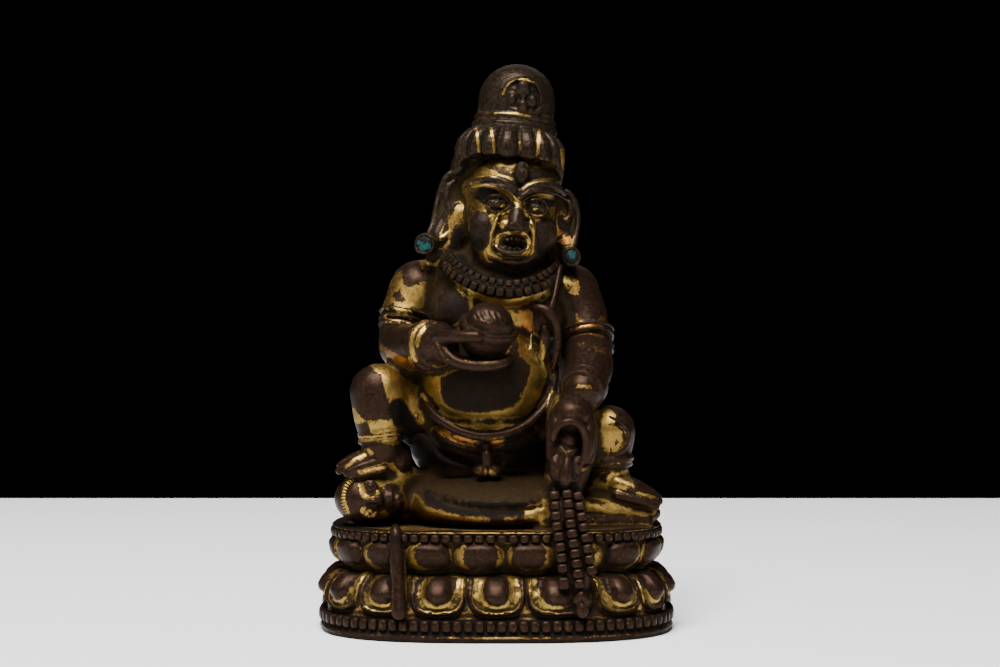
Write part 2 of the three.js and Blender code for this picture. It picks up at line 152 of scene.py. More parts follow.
# The bead strings from the mongoose's mouth, the necklace and the prone figure's hairline
STRING_ROUTES = [
    [(11.2, -21.6, 29.0, 1), (11.5, -23.0, 24, 1), (12.3, -24.2, 18, 1), (12.8, -24.5, 13.4, 1)],
    [(13.6, -21.9, 29.2, 1), (14.1, -23.4, 24, 1), (15.1, -24.6, 17, 1), (16.0, -25.2, 10.6, 1)],
    [(15.6, -21.2, 28.8, 1), (16.4, -22.8, 24, 1), (17.5, -24.0, 18, 1), (18.4, -24.5, 13.0, 1)],
]
NECKLACE_ROUTE = [
    (4, 13.1, 76.3), (-5, 11.5, 76.6), (-9.9, 4.5, 76.1), (-9.3, -2.4, 73.7), (-6.5, -6.6, 71.2),
    (-2.4, -8.9, 69.2), (3, -9.8, 68.4), (7.6, -8.6, 69.3), (10.6, -5.4, 71.1), (12, -0.5, 72.8),
    (11.2, 7.5, 75.2), (3, 13.3, 76.3),
]
NECKLACE_CENTRE = Vector((1.4, 3, 66))
PRONE_HAIRLINE = [
    (-28.3, -12.9, 30.7, 1), (-29.5, -13.7, 29.3, 1), (-30.1, -13.9, 27.4, 1), (-30.0, -13.8, 25.6, 1),
    (-29.3, -13.1, 23.9, 1),
]
EAR_ORNAMENTS = {
    "right": {"centre": (-14.4, -1.9, 77.8), "radius": 2.25, "turn": -14},
    "left": {"centre": (15.0, -1.9, 75.2), "radius": 2.05, "turn": 14},
}
ORNAMENT_LENGTH = 3.4
STONE_DEPTH = 0.9
RIM_WIDTH = 0.6


def placing(turn, shift):
    """A turn by degrees about X, Y and Z, then a shift."""
    x, y, z = (math.radians(angle) for angle in turn)
    turned_by = Matrix.Rotation(x, 4, "X") @ Matrix.Rotation(y, 4, "Y") @ Matrix.Rotation(z, 4, "Z")
    return Matrix.Translation(shift) @ turned_by


HEAD = placing((0, HEAD_ROLL, HEAD_YAW), HEAD_ORIGIN)


def mirrored(stations):
    return [(-x, *rest) for x, *rest in stations]


# Forms


def smooth_path(stations, step):
    """Rows of x, y, z and radius on a smooth curve through the stations, about a step apart."""
    given = np.array(stations, float)
    ends = np.vstack([2 * given[0] - given[1], given, 2 * given[-1] - given[-2]])
    rows = []
    for k in range(len(given) - 1):
        a, b, c, d = ends[k : k + 4]
        count = max(1, math.ceil(np.linalg.norm((c - b)[:3]) / step))
        t = (np.arange(count) / count)[:, None]
        cubic = 3 * b - a - 3 * c + d
        rows.append(0.5 * (2 * b + (c - a) * t + (2 * a - 5 * b + 4 * c - d) * t**2 + cubic * t**3))
    return np.vstack([*rows, given[-1:]])


def unit(rows):
    return rows / np.maximum(np.linalg.norm(rows, axis=-1, keepdims=True), 1e-9)


def step_up(value, low, high):
    """0 below low, 1 above high, and smooth between them."""
    t = np.clip((value - low) / (high - low), 0, 1)
    return t * t * (3 - 2 * t)


def dome(value):
    """1 at the middle of a round form, 0 at its edge where value is 1."""
    return np.sqrt(np.clip(1 - value * value, 0, 1))


def swell(value, middle, width):
    """A smooth swell that is 1 at the middle."""
    return np.exp(-(((value - middle) / width) ** 2))


def upright_ring(x, y, z, wide, high, count, *rest):
    """Points of a closed upright ring that faces the front, each followed by the rest, such as a radius."""
    turns = [2 * math.pi * k / count for k in range(count + 1)]
    return [(x + wide * math.cos(t), y, z + high * math.sin(t), *rest) for t in turns]


def mesh_of(form, name):
    """A finished bmesh as a mesh."""
    mesh = bpy.data.meshes.new(name)
    form.to_mesh(mesh)
    form.free()
    return mesh


def put_object(name, data):
    made = bpy.data.objects.new(name, data)
    bpy.context.scene.collection.objects.link(made)
    return made


def ball(clay, centre, half_sizes, frame=UPRIGHT, fineness=4, turn=(0, 0, 0)):
    """An ellipsoid from its centre and half sizes."""
    place = frame @ placing(turn, centre) @ Matrix.Diagonal((*half_sizes, 1))
    bmesh.ops.create_icosphere(clay, subdivisions=fineness, radius=1, matrix=place)


def limb(clay, stations, frame=UPRIGHT, sides=14, flatten=None):
    """A round-ended limb: a sphere drawn out along a smooth curve through stations of x, y, z and radius.
    flatten = (direction, share) presses its section thinner along that direction."""
    thinnest = min(s[3] for s in stations)
    path = smooth_path(stations, max(0.3, 0.5 * thinnest))
    along = unit(np.gradient(path[:, :3], axis=0))
    side = np.zeros_like(along)
    start = np.eye(3)[np.argmin(abs(along[0]))]
    for k, direction in enumerate(along):
        start = unit(start - direction * (start @ direction))
        side[k] = start
    up = np.cross(side, along)
    rings = len(path) - 1 + 2 * CAP_RINGS
    made = bmesh.ops.create_uvsphere(clay, u_segments=sides, v_segments=rings, radius=1)["verts"]
    sphere = np.array([v.co for v in made])
    ring = np.rint(np.arccos(np.clip(sphere[:, 2], -1, 1)) * rings / math.pi).astype(int)
    angle = np.arctan2(sphere[:, 1], sphere[:, 0])
    to_tip = np.clip(np.minimum(ring, rings - ring) / CAP_RINGS, 0, 1) * math.pi / 2
    spread = np.sin(to_tip)
    reach = np.cos(to_tip) * np.where(ring < CAP_RINGS, -1, 1)
    at = np.clip(ring - CAP_RINGS, 0, len(path) - 1)
    offset = side[at] * (np.cos(angle) * spread)[:, None] + up[at] * (np.sin(angle) * spread)[:, None]
    offset += along[at] * reach[:, None]
    if flatten:
        thin = unit(np.array(flatten[0], float))
        offset += (flatten[1] - 1) * (offset @ thin)[:, None] * thin
    for vertex, place in zip(made, path[at, :3] + offset * path[at, 3:4]):
        vertex.co = frame @ Vector(place)


def merge_into(clay, fresh):
    """Adds a finished bmesh to the clay."""
    carrier = mesh_of(fresh, "carrier")
    clay.from_mesh(carrier)
    bpy.data.meshes.remove(carrier)


def turned(clay, profile, frame=UPRIGHT, steps=64):
    """A form turned about its own Z, from a profile of radius and height that starts and ends on the axis."""
    fresh = bmesh.new()
    points = [fresh.verts.new((radius, 0, z)) for radius, z in profile]
    for a, b in zip(points, points[1:]):
        fresh.edges.new((a, b))
    geometry = fresh.verts[:] + fresh.edges[:]
    bmesh.ops.spin(
        fresh, geom=geometry, axis=(0, 0, 1), cent=(0, 0, 0), angle=2 * math.pi, steps=steps, use_merge=True
    )
    bmesh.ops.remove_doubles(fresh, verts=fresh.verts[:], dist=1e-4)
    bmesh.ops.recalc_face_normals(fresh, faces=fresh.faces[:])
    bmesh.ops.transform(fresh, matrix=frame, verts=fresh.verts[:])
    merge_into(clay, fresh)


def limbs(clay, routes, *rest, **looks):
    for route in routes:
        limb(clay, route, *rest, **looks)


def hoop(clay, centre, axis, half_sizes, tube, frame=UPRIGHT):
    """A ring round a limb: its centre, the limb's direction, its half sizes across and its thickness."""
    axis = Vector(axis).normalized()
    across = axis.orthogonal() if abs(axis.y) > 0.95 else axis.cross(Vector((0, 1, 0))).normalized()
    over = axis.cross(across)
    turns = [2 * math.pi * k / 12 for k in range(13)]
    wide, deep = half_sizes
    points = [Vector(centre) + across * (wide * math.cos(t)) + over * (deep * math.sin(t)) for t in turns]
    limb(clay, [(*p, tube) for p in points], frame, sides=10)


def bead(clay, centre, along, outward, half_sizes, frame=UPRIGHT, squareness=0.62, fineness=3, gilt=0):
    """A cushion-shaped bead, with its half sizes along its string, across it and outwards."""
    along = Vector(along).normalized()
    outward = (Vector(outward) - along * Vector(outward).dot(along)).normalized()
    across = outward.cross(along)
    turn = Matrix((along, across, outward)).transposed().to_4x4()
    place = frame @ Matrix.Translation(centre) @ turn
    flank, leaf = (clay.verts.layers.float.get(name) for name in ("flank", "gilt"))
    for vertex in bmesh.ops.create_icosphere(clay, subdivisions=fineness, radius=1)["verts"]:
        pillow = [math.copysign(abs(c) ** squareness, c) * half for c, half in zip(vertex.co, half_sizes)]
        if flank:
            vertex[flank] = 1 - vertex.co.z
            vertex[leaf] = gilt
        vertex.co = place @ Vector(pillow)


def beads_along(clay, stations, pitch, half_sizes, outward, **looks):
    """Evenly spaced beads on a smooth curve. outward is a function of a point."""
    path = smooth_path(stations, 0.1)[:, :3]
    reached = np.concatenate([[0], np.cumsum(np.linalg.norm(np.diff(path, axis=0), axis=1))])
    count = max(1, round(reached[-1] / pitch))
    for k in range(count):
        wanted = (k + 0.5) * reached[-1] / count
        point, ahead, behind = (
            Vector([np.interp(wanted + step, reached, path[:, axis]) for axis in range(3)])
            for step in (0, 0.2, -0.2)
        )
        bead(clay, point, ahead - behind, outward(point), half_sizes, **looks)


# The double lotus base


def plan_outline():
    """The base's plan from mid front towards +X: lengths reached, points and outward directions."""
    angle = np.linspace(-math.pi / 2, 1.5 * math.pi, 5761)
    power = 2 / PLAN_POWER
    x = np.sign(np.cos(angle)) * BASE_HALF_WIDTH * abs(np.cos(angle)) ** power
    y = np.sign(np.sin(angle)) * BASE_HALF_DEPTH * abs(np.sin(angle)) ** power
    points = np.column_stack([x, y])
    lengths = np.concatenate([[0], np.cumsum(np.linalg.norm(np.diff(points, axis=0), axis=1))])
    ahead, behind = np.roll(points[:-1], -24, axis=0), np.roll(points[:-1], 24, axis=0)
    way = unit(ahead - behind)
    outward = np.column_stack([way[:, 1], -way[:, 0]])
    return lengths, points, np.vstack([outward, outward[:1]])


def off_centre(length, count, total, shift=0.0):
    """How far a place along the outline is from the middle of the nearest of count even parts."""
    pitch = total / count
    return (length - shift + pitch / 2) % pitch - pitch / 2


def drifted(length, total):
    """The founder's uneven setting out: the petals on the front left stand a little wider."""
    around = (length + total / 2) % total - total / 2
    return length - 2.9 * np.exp(-(((around - 24) / 9) ** 2))


def lower_petal_places(length, z, total):
    """How far inside a hanging petal a place is, in mm, and how far out from its boss, 1 at its foot."""
    pitch = total / LOWER_PETALS
    a = off_centre(length, LOWER_PETALS, total)
    across = abs(a) / (0.492 * pitch)
    down = np.clip(9.4 - z, 0, None) / 4.25
    inside = (1 - (across**2.8 + down**2.8) ** (1 / 2.8)) * 0.49 * pitch
    out = (abs(a / 2.65) ** 2.3 + abs((z - 10.2) / 2.95) ** 2.3) ** (1 / 2.3)
    return inside, out


def lower_petals(length, z, total):
    """Hanging petals: a narrow rim, a sunk band, a boss in a fine ridge, and a leaf tip between two."""
    length = drifted(length, total)
    inside, out = lower_petal_places(length, z, total)
    body = 1.1 * step_up(inside, -0.15, 0.4)
    rim = 0.75 * step_up(inside, 0, 0.3) * (1 - step_up(inside, 0.62, 0.9))
    edge_line = -0.3 * swell(inside, 0.25, 0.14)
    boss = 2.1 * dome(np.clip(out, 0, 1) ** 1.3)
    ridge = 0.45 * np.exp(-(((out - 1.13) * 2.7 / 0.24) ** 2)) * (z < PETALS_MEET)
    petal = (body + rim + edge_line + ridge + boss) * (1 - step_up(z, 12.0, 12.9))
    sepal = off_centre(length, LOWER_PETALS, total, total / LOWER_PETALS / 2)
    tip = step_up(1 - abs(sepal) / np.clip(2.2 - (z - 5.0), 0.05, 3), 0, 0.5)
    leaf = 0.9 * tip * step_up(7.6 - z, 0, 0.6)
    return np.maximum(petal, leaf * (z > 4.9))


def upper_petal_places(length, z, total):
    """How far across from an upright petal's middle a place is, and how far out, each 1 at its edge."""
    across = abs(off_centre(length, UPPER_PETALS, total, UPPER_SHIFT)) / (0.47 * (total / UPPER_PETALS))
    up = np.where(z > UPPER_MIDDLE, (z - UPPER_MIDDLE) / UPPER_RISE, (UPPER_MIDDLE - z) / UPPER_DROP)
    return across, (across**2.6 + up**2.6) ** (1 / 2.6)


def upper_petals(length, z, total):
    """Upright pillow-shaped petals with a fine edge line."""
    _, out = upper_petal_places(length, z, total)
    return 1.9 * dome(np.clip(out, 0, 1) ** 1.7) - 0.22 * swell(out, 0.86, 0.045) * (z > 15)


def lotus_base(clay):
    """A sheet wrapped round the base from the floor to the plate, in relief, and then closed."""
    lengths, points, outward = plan_outline()
    total = lengths[-1]
    profile = np.array(BASE_PROFILE)
    reached = np.concatenate([[0], np.cumsum(np.linalg.norm(np.diff(profile, axis=0), axis=1))])
    columns = math.ceil(total / BASE_STEP)
    rows = math.ceil(reached[-1] / BASE_STEP)
    fresh = bmesh.new()
    made = bmesh.ops.create_grid(fresh, x_segments=columns, y_segments=rows, size=1)["verts"]
    flat = np.array([v.co for v in made])
    length = (flat[:, 0] + 1) / 2 * total
    up = (flat[:, 1] + 1) / 2 * reached[-1]
    z = np.interp(up, reached, profile[:, 0])
    inset = np.interp(up, reached, profile[:, 1])
    relief = np.where(z < PETALS_MEET, lower_petals(length, z, total), 0)
    relief = np.where((z >= 12.7) & (z < 19.05), np.maximum(relief, upper_petals(length, z, total)), relief)
    out = (relief - inset)[:, None]
    plan = [np.interp(length, lengths, points[:, axis]) for axis in (0, 1)]
    facing = [np.interp(length, lengths, outward[:, axis]) for axis in (0, 1)]
    places = np.column_stack(plan) + out * np.column_stack(facing)
    for vertex, (x, y), height in zip(made, places, z):
        vertex.co = (x, y, height)
    bmesh.ops.remove_doubles(fresh, verts=fresh.verts[:], dist=0.01)
    bmesh.ops.holes_fill(fresh, edges=[e for e in fresh.edges if e.is_boundary])
    bmesh.ops.recalc_face_normals(fresh, faces=fresh.faces[:])
    merge_into(clay, fresh)


# Soft forms of the bodies, melted together before the crisp ones are laid on


def torso(clay):
    """Belly, chest, shoulders, back and seat."""
    ball(clay, (-1.5, 5, 35.5), (16.5, 14.5, 8.5))
    ball(clay, (-1.8, -1, 49.3), (14.8, 15, 12.2), fineness=5)
    ball(clay, (-1.6, -2, 39.3), (13.6, 12, 6))
    ball(clay, (0.8, 4, 63.5), (15.6, 11.6, 10.8))
    ball(clay, (-0.3, 8.5, 53), (15, 10, 19))
    ball(clay, (-7.6, -4.2, 63.6), (5.6, 3.6, 5.2))
    ball(clay, (8.6, -3.2, 63), (5.6, 4.2, 5.6))
    limb(clay, [(-14.5, 5.5, 70, 5), (1.5, 5, 74, 6), (14, 5.5, 69.6, 5)])
    limb(clay, [(x * 0.84 + 0.2, y * 0.84 + 0.6, z - 1.1, 2.3) for x, y, z in NECKLACE_ROUTE])
    ball(clay, (1.6, 0.5, 69), (10, 8, 4.2))
    for side in (-1, 1):
        ball(clay, (7.5 * side, 13.5, 61), (6, 4.5, 8), turn=(0, 12 * side, 0))
        ball(clay, (7.5 * side - 0.8, 12, 34.5), (7.6, 7.4, 7.2))


def legs(clay):
    """Thighs, shins and feet of the seated figure."""
    limbs(clay, [
        [(-7, 7, 37.5, 8.2), (-15, 0, 43, 7.2), (-21.5, -6, 46.8, 5.8)],
        [(-23.6, -9, 47.6, 6), (-23.6, -10, 42.5, 5), (-22.8, -10, 36, 3.8)],
        [(-20, -8.4, 33.9, 3.1), (-25, -10.4, 33.9, 2.6), (-29.4, -11.8, 32.6, 1.6)],
        [(5, 7, 36.5, 8.2), (14, 0.5, 38.6, 7), (20.8, -5.2, 39.4, 5.6)],
        [(22.7, -7.6, 39.7, 5.5), (22.8, -8.2, 35, 4.4), (22.6, -8, 30.5, 3.6)],
        [(20, -7.2, 28.6, 3.2), (26.5, -9.2, 28.2, 2.7), (31.6, -9.2, 26.7, 1.5)],
        [(16, -1, 29.5, 5.2), (27, -4.5, 25.8, 3.6)],
    ])
    ball(clay, (-20.5, -5, 29.8), (5.2, 5.8, 4))


def arms(clay):
    """Upper arms and forearms, and what fills them in towards the body."""
    limbs(clay, [
        [(-16.2, 4.4, 68.8, 6.3), (-19, 2, 62.5, 5.3), (-19.4, -0.8, 57, 5)],
        [(-19.3, -1, 56.8, 5), (-16.8, -8, 56.6, 4.9), (-11.4, -15.8, 57.3, 4.2)],
        [(-4, -8, 57, 5), (-2.4, -14, 57.4, 3.6)],
        [(15.4, 4.6, 68.2, 6.2), (18, 2.6, 62.5, 5.2), (18.8, 0, 56.6, 5)],
        [(18.7, -0.2, 56.2, 5), (18.6, -7.4, 52.6, 5), (17, -14.8, 48.2, 4.2)],
        [(15, -10, 43, 5.4), (14.6, -13, 35, 5), (13, -15.2, 29, 4)],
    ])


def head_mass(clay):
    ball(clay, (0, 1, 0), (9.5, 12, 12), HEAD, fineness=5)
    ball(clay, (0, -3.2, 5.4), (8.8, 7.3, 5.6), HEAD)
    ball(clay, (-0.6, 5, 4.5), (11, 10.3, 11.5), HEAD)
    ball(clay, (0, -8.4, -9.6), (3.8, 2.6, 2.4), HEAD)
    ball(clay, (0, -4.2, -8.2), (7.7, 6.6, 4.2), HEAD)
    ball(clay, (0, -3.4, -11.4), (7.2, 6.2, 2.7), HEAD)
    for side in (-1, 1):
        ball(clay, (5.4 * side + 0.2, -6.9, -4.6), (3.9, 3.9, 4.2), HEAD)
    limb(clay, [(0, 1, -6, 8), (-0.4, 2, -13, 7.6)], HEAD)


def prone_body(clay):
    ball(clay, (0.5, -1.2, 25.2), (20, 19, 6.6), fineness=5)
    ball(clay, (-26.2, -9.6, 26.5), (6.3, 6, 5.3))
    ball(clay, (-22.6, -9.4, 26.3), (4.6, 5.2, 4.4))
    limbs(clay, [
        [(-23, -6.5, 25.5, 4.6), (-12, -1, 26, 6.5)],
        [(9, -11.5, 24, 4.2), (20, -11, 24, 2.9), (31.4, -8.6, 23.4, 1.8)],
        [(9, -15.5, 22.4, 3), (20, -14.6, 22.2, 2.1), (30, -11.4, 21.7, 1.5)],
    ])


# Crisp forms


def strap(clay):
    """The strap that comes over the edge of the plate and hangs down over the petals."""
    front = [
        (-19.7, -17.6, 21.2, 0.7), (-19.6, -19.8, 21.5, 0.95), (-19.5, -21.1, 21, 1.05),
        (-19.4, -21.9, 19.6, 1.1), (-19.2, -22.7, 16, 1.1), (-18.9, -23.4, 10.5, 1.15),
        (-18.7, -24.2, 7, 1.35), (-18.6, -24.3, 6, 1.6),
    ]
    limb(clay, front, flatten=((0, 1, 0.1), 0.75))
    limb(clay, [(-19.4, -20.2, 19.4, 1.3), (-19, -21.2, 14, 1.6), (-18.8, -22.2, 9, 1.7)])


def body_cords(clay):
    """The belly cord, the cord and knot at the left shoulder, the tassel and the swag of cloth."""
    belly = [
        (-12.8, 1.5, 57.5, 0.8), (-14.8, -3.5, 52.5, 0.85), (-14.6, -8.2, 47, 0.9), (-12, -12, 43.1, 0.95),
        (-7, -14.8, 40.1, 1), (-1.8, -15.5, 39.2, 1), (4, -14.5, 40.3, 1),
        (8.8, -11.6, 43.8, 0.95), (11.2, -9.2, 48, 0.9), (11.9, -8, 52.5, 0.85),
    ]
    limb(clay, belly)
    limb(clay, [
        (13, -3.8, 73.2, 0.52), (12.2, -6.6, 69.6, 0.54), (11.6, -8, 66.8, 0.56), (11, -8.6, 64.8, 0.6),
    ])
    loop = [
        (7.3, -8.8, 64.5, 0.7), (8.6, -9.6, 64.5, 0.95), (10.2, -10, 63.8, 1.15), (11.5, -9.8, 62.3, 1.1),
        (12.1, -9.3, 60.2, 0.95), (12.2, -9.1, 57.4, 0.9), (11.9, -9.2, 54.6, 0.8), (11.4, -9.2, 52.4, 0.6),
    ]
    limb(clay, loop, flatten=((0, 1, 0), 0.75))
    ball(clay, (9.6, -9.9, 60.5), (0.62, 0.62, 0.62), fineness=3)
    band = [(9.8, -9.2, 59.6, 0.95), (9.7, -9.6, 57.6, 1.1), (9.4, -9.8, 55.8, 0.95), (9.1, -9.9, 54.2, 0.5)]
    limb(clay, band, flatten=((0, 1, 0), 0.6))
    limbs(clay, [
        [(9.1, -9.9, 54.2, 0.42), (9.6, -9.9, 52.6, 0.38), (10.3, -9.7, 50.6, 0.36), (10.7, -9.4, 48.6, 0.3)],
        [(7.2, -8.4, 60.6, 0.32), (6.9, -8.9, 58.4, 0.34), (7, -9.6, 56.2, 0.3)],
        [(-1.9, -12.6, 38.6, 1), (-1.9, -14, 36.2, 1.05), (-1.8, -14.2, 34, 1.1)],
    ])
    for side in (-1, 1):
        ball(clay, (-1.7 + 1.35 * side, -13.4, 32.2), (1.55, 1.6, 1.35), fineness=3)
    limb(clay, [
        (-17.4, -6.5, 37.6, 0.6), (-15.2, -7.4, 38.8, 0.7), (-13.2, -8.2, 37.6, 0.7),
        (-11.8, -9, 35.4, 0.65), (-9.6, -10, 33.8, 0.6), (-6, -11, 32.8, 0.5),
    ])


def right_hand(clay):
    """The right hand under the bowl: palm, thumb and a row of fingers."""
    ball(clay, (-10.4, -17.6, 57), (2.4, 3.4, 3.9))
    limb(clay, [
        (-11, -19.6, 58.8, 1.6), (-8.4, -23, 58.75, 1.3), (-5.8, -24.9, 58.7, 1.2), (-3.6, -25.3, 58.7, 1.2),
    ])
    finger = [
        (-10.6, -19.4, 57.4, 1.5), (-9.3, -21.4, 55.2, 1.35), (-7.2, -22.8, 53.7, 1.2),
        (-2.8, -23.6, 53, 1.1), (0.9, -23, 53.4, 0.95), (2.3, -21.8, 54.2, 0.75),
    ]
    for row, back in enumerate((0, 2.2, 4.3, 6.3)):
        limb(clay, [(x, y + back, z + 0.15 * row, r) for x, y, z, r in finger])


def bowl(clay):
    turned(clay, BOWL_PROFILE, placing((24, 14, 0), (-1.7, -19.6, 60)))


def left_hand(clay):
    """The left hand, closed round the mongoose."""
    ball(clay, (14.7, -17.4, 43.4), (4, 4.2, 3.6))
    limbs(clay, [
        [(17.3, -17.4, 43.2, 1.8), (18, -19.2, 40.2, 1.35), (17.8, -20.1, 37, 1.15), (17, -20.6, 34.8, 0.9)],
        [(12.2, -18.2, 43.4, 1.7), (11.5, -20.2, 41.2, 1), (11, -20.9, 39, 0.75)],
    ])
    arch = [
        (11, -20.8, 39.2, 0.6), (11.8, -21.5, 41.2, 0.75), (13.3, -22, 42.2, 0.85), (15, -22, 42.2, 0.85),
        (16.6, -21.4, 41, 0.85), (17.4, -20.9, 38.6, 0.9), (17.1, -20.8, 35.6, 0.8),
    ]
    limb(clay, arch)
    limbs(clay, [
        [(11.6, -16.8, 42.2, 1.6), (10.8, -18, 39, 1.3), (10.8, -18.4, 35.2, 1.1)],
        [(17.6, -15.6, 42.6, 2), (18.2, -16.6, 38.4, 1.6), (17.8, -17.2, 34.8, 1.4)],
    ])


def mongoose(clay):
    """The mongoose, hanging head down, whose mouth spits the bead strings."""
    ball(clay, (13.4, -18.4, 35.2), (3, 2.9, 4.2))
    ball(clay, (13.1, -19.9, 32.4), (2.95, 2.2, 2.6))
    ball(clay, (14, -18.9, 38.8), (1.9, 2, 2.2))
    limb(clay, [
        (13.9, -21, 36.2, 0.8), (13.6, -22.1, 34, 1), (13.3, -22.4, 31.6, 1.15), (13.1, -21.6, 30.1, 0.9),
    ])
    for x in (11.5, 15.4):
        ball(clay, (x, -21, 33.9), (0.9, 0.9, 1.4), fineness=3)
        limb(clay, upright_ring(x, -20.9, 33.9, 1.15, 1.75, 10, 0.24), sides=8)
    limbs(clay, [
        [(12.2, -20.8, 37.4, 0.34), (13.1, -21.5, 36.5, 0.42), (13.9, -21.9, 36.2, 0.48)],
        [(15.6, -20.8, 36.8, 0.34), (14.8, -21.5, 36.4, 0.42), (13.9, -21.9, 36.2, 0.48)],
        [(10.5, -20.4, 31.9, 0.4), (11.4, -21.6, 31.2, 0.45), (12.4, -22.4, 31.4, 0.48)],
        [(16, -20.4, 31.6, 0.4), (15, -21.7, 31, 0.45), (14.2, -22.3, 31.2, 0.48)],
    ])


def jewel_strings(clay):
    for route in STRING_ROUTES:
        limb(clay, [(x, y + 0.8, z, 0.62) for x, y, z, _ in route])
    for side in (-1, 1):
        limb(clay, [(16.2, -25.4, 9.5, 0.8), (16.2 + 1.2 * side, -25.4, 8.3, 0.6)])
    ball(clay, (16.4, -25.2, 6.5), (1.35, 0.95, 1.6), fineness=3)
    for x, z in ((12.2, 24), (12.9, 18), (14, 13), (16.2, 17), (17, 13)):
        ball(clay, (x, -21.2, z), (1.6, 2.2, 4))


def string_beads(clay):
    half_sizes = (0.9, 1.03, 0.95)
    for route in STRING_ROUTES:
        beads_along(clay, route, 2, half_sizes, lambda p: Vector((0, -1, 0)), squareness=0.58, gilt=0.1)
    bead(clay, (12.9, -25, 11.6), (0, 0, 1), (0, -1, 0), (1.15, 1.1, 0.9), squareness=0.5)


def jewellery(clay):
    """Bracelets, armlets and anklets, and the swirled hem at the left knee."""
    forearm = (0.47, -0.88, 0.04)
    for along, size, tube in ((0, 4.75, 0.7), (1.4, 4.65, 0.55), (4, 4.35, 0.6)):
        centre = Vector((-13.6, -11.9, 56.9)) + Vector(forearm) * along
        hoop(clay, centre, forearm, (size, size), tube)
    for z, y, tube in ((60.4, 0.6, 0.42), (61.6, 1, 0.34), (63.2, 1.6, 0.3)):
        hoop(clay, (-19, y, z), (0.2, 0.3, 1), (5.35, 5.35), tube)
    for z, size, tube in ((59.6, 5.3, 0.42), (58.4, 5.25, 0.36), (56.6, 5.25, 0.42), (55.5, 5.2, 0.36)):
        hoop(clay, (18.75, 0.2, z), (-0.1, 0.45, 1), (size, size), tube)
    wrist = Vector((-0.25, -0.85, -0.5))
    for along, tube in ((0, 0.5), (1.2, 0.4), (2.2, 0.3)):
        hoop(clay, Vector((17.4, -13.2, 49.2)) + wrist * along, wrist, (4.4, 4.4), tube)
    for z, size, tube in ((39.6, 4.35, 0.5), (38.2, 4.15, 0.6)):
        hoop(clay, (-23.1, -10, z), (-0.1, 0, 1), (size, size), tube)
    for z, size, tube in ((34.2, 4.35, 0.6), (33, 4.25, 0.5)):
        hoop(clay, (22.8, -8.1, z), (-0.08, 0, 1), (size, size), tube)
    limb(clay, [
        (22.4, -13.6, 43, 0.35), (25, -12.6, 41.4, 0.55), (26.2, -11.6, 39, 0.65), (25.6, -11.8, 36.8, 0.55),
        (23.6, -12.4, 35.4, 0.45),
    ])
    turns = range(1, 6)
    swirl = [(22.9 + 0.25 * t * math.cos(2 * t), -12.4, 35 + 0.25 * t * math.sin(2 * t), 0.3) for t in turns]
    limb(clay, swirl, sides=8)


def feet(clay):
    """The toes."""
    toes = [
        [(-24.5, -9.4, 36, 0.9), (-28.2, -10.2, 34.9, 0.9), (-31.2, -10.8, 33.2, 0.75)],
        [(-23.9, -11.4, 35.4, 1), (-27.8, -12.4, 34.2, 0.95), (-31.2, -12.6, 32.2, 0.85)],
        [(-23, -12.3, 34, 1), (-26.6, -13.5, 33.1, 0.95), (-29.6, -13.7, 31.8, 0.8)],
        [(-22.4, -12.6, 32.4, 0.9), (-26, -13.7, 31.8, 0.85), (-28.6, -13.6, 31.2, 0.7)],
    ]
    limbs(clay, toes)
    limbs(clay, [
        [(24, -10.6, 29.6, 1.5), (28, -11, 28.2, 1.25), (32.4, -10.2, 26, 0.95)],
        [(25, -8.6, 30.2, 1.2), (29.2, -8.4, 28.4, 1), (32.4, -8, 26.6, 0.8)],
        [(24, -11.4, 27.2, 1.2), (28.6, -11.6, 26.1, 1), (31.8, -11, 25, 0.8)],
    ])


def prone_head(clay):
    """The prone figure's face is turned to the front, with its crown to the figure's right."""
    for z in (29.1, 24.1):
        ball(clay, (-24.9, -14.4, z), (1, 1.15, 0.9), fineness=3)
        limb(clay, upright_ring(-24.9, -14.7, z, 1.4, 1.25, 8, 0.28), sides=8)
    ball(clay, (-27.6, -13.7, 26.6), (1.5, 1.7, 2.5))
    limb(clay, [(-26, -15, 26.7, 0.6), (-24.4, -15.7, 26.8, 0.85), (-23.2, -15.7, 26.8, 1.1)])
    for z in (25.6, 27.9):
        ball(clay, (-23.1, -14.9, z), (0.7, 0.8, 0.6), fineness=3)
    for x in (-21.8, -20.8):
        limb(clay, [(x, -13.6, 28.5, 0.35), (x + 0.1, -14.6, 27.2, 0.42), (x, -14.2, 25.6, 0.4)], sides=8)
    ball(clay, (-19.6, -12.6, 26.2), (1.4, 1.6, 1.7))
    limb(clay, [
        (-27.2, -13.2, 30.6, 0.26), (-28.6, -14.3, 28.8, 0.3), (-29, -14.6, 26.8, 0.3),
        (-28.6, -14.3, 25, 0.3), (-27.4, -13.6, 23.4, 0.26),
    ], sides=8)


def eye(clay, x, z, half_width, half_height, side):
    """One of the two bulging eyes, with its lids and the bag below. side is -1 or 1."""
    ball(clay, (x, -9.5, z), (half_width, 2, half_height), HEAD)
    corners = [(-1.12, 0.9), (-0.6, 0.15), (0, 0), (0.55, 0.1), (1.1, 0.5)]
    for up, r in ((1, 0.34), (-1, 0.27)):
        lid = []
        for share, back in corners:
            rise = up * half_height * 1.16 * math.sqrt(max(1 - (share / 1.14) ** 2, 0))
            lid.append((x + side * -share * half_width, -11.35 + back * 1.5, z + rise, r))
        limb(clay, lid, HEAD, sides=8)


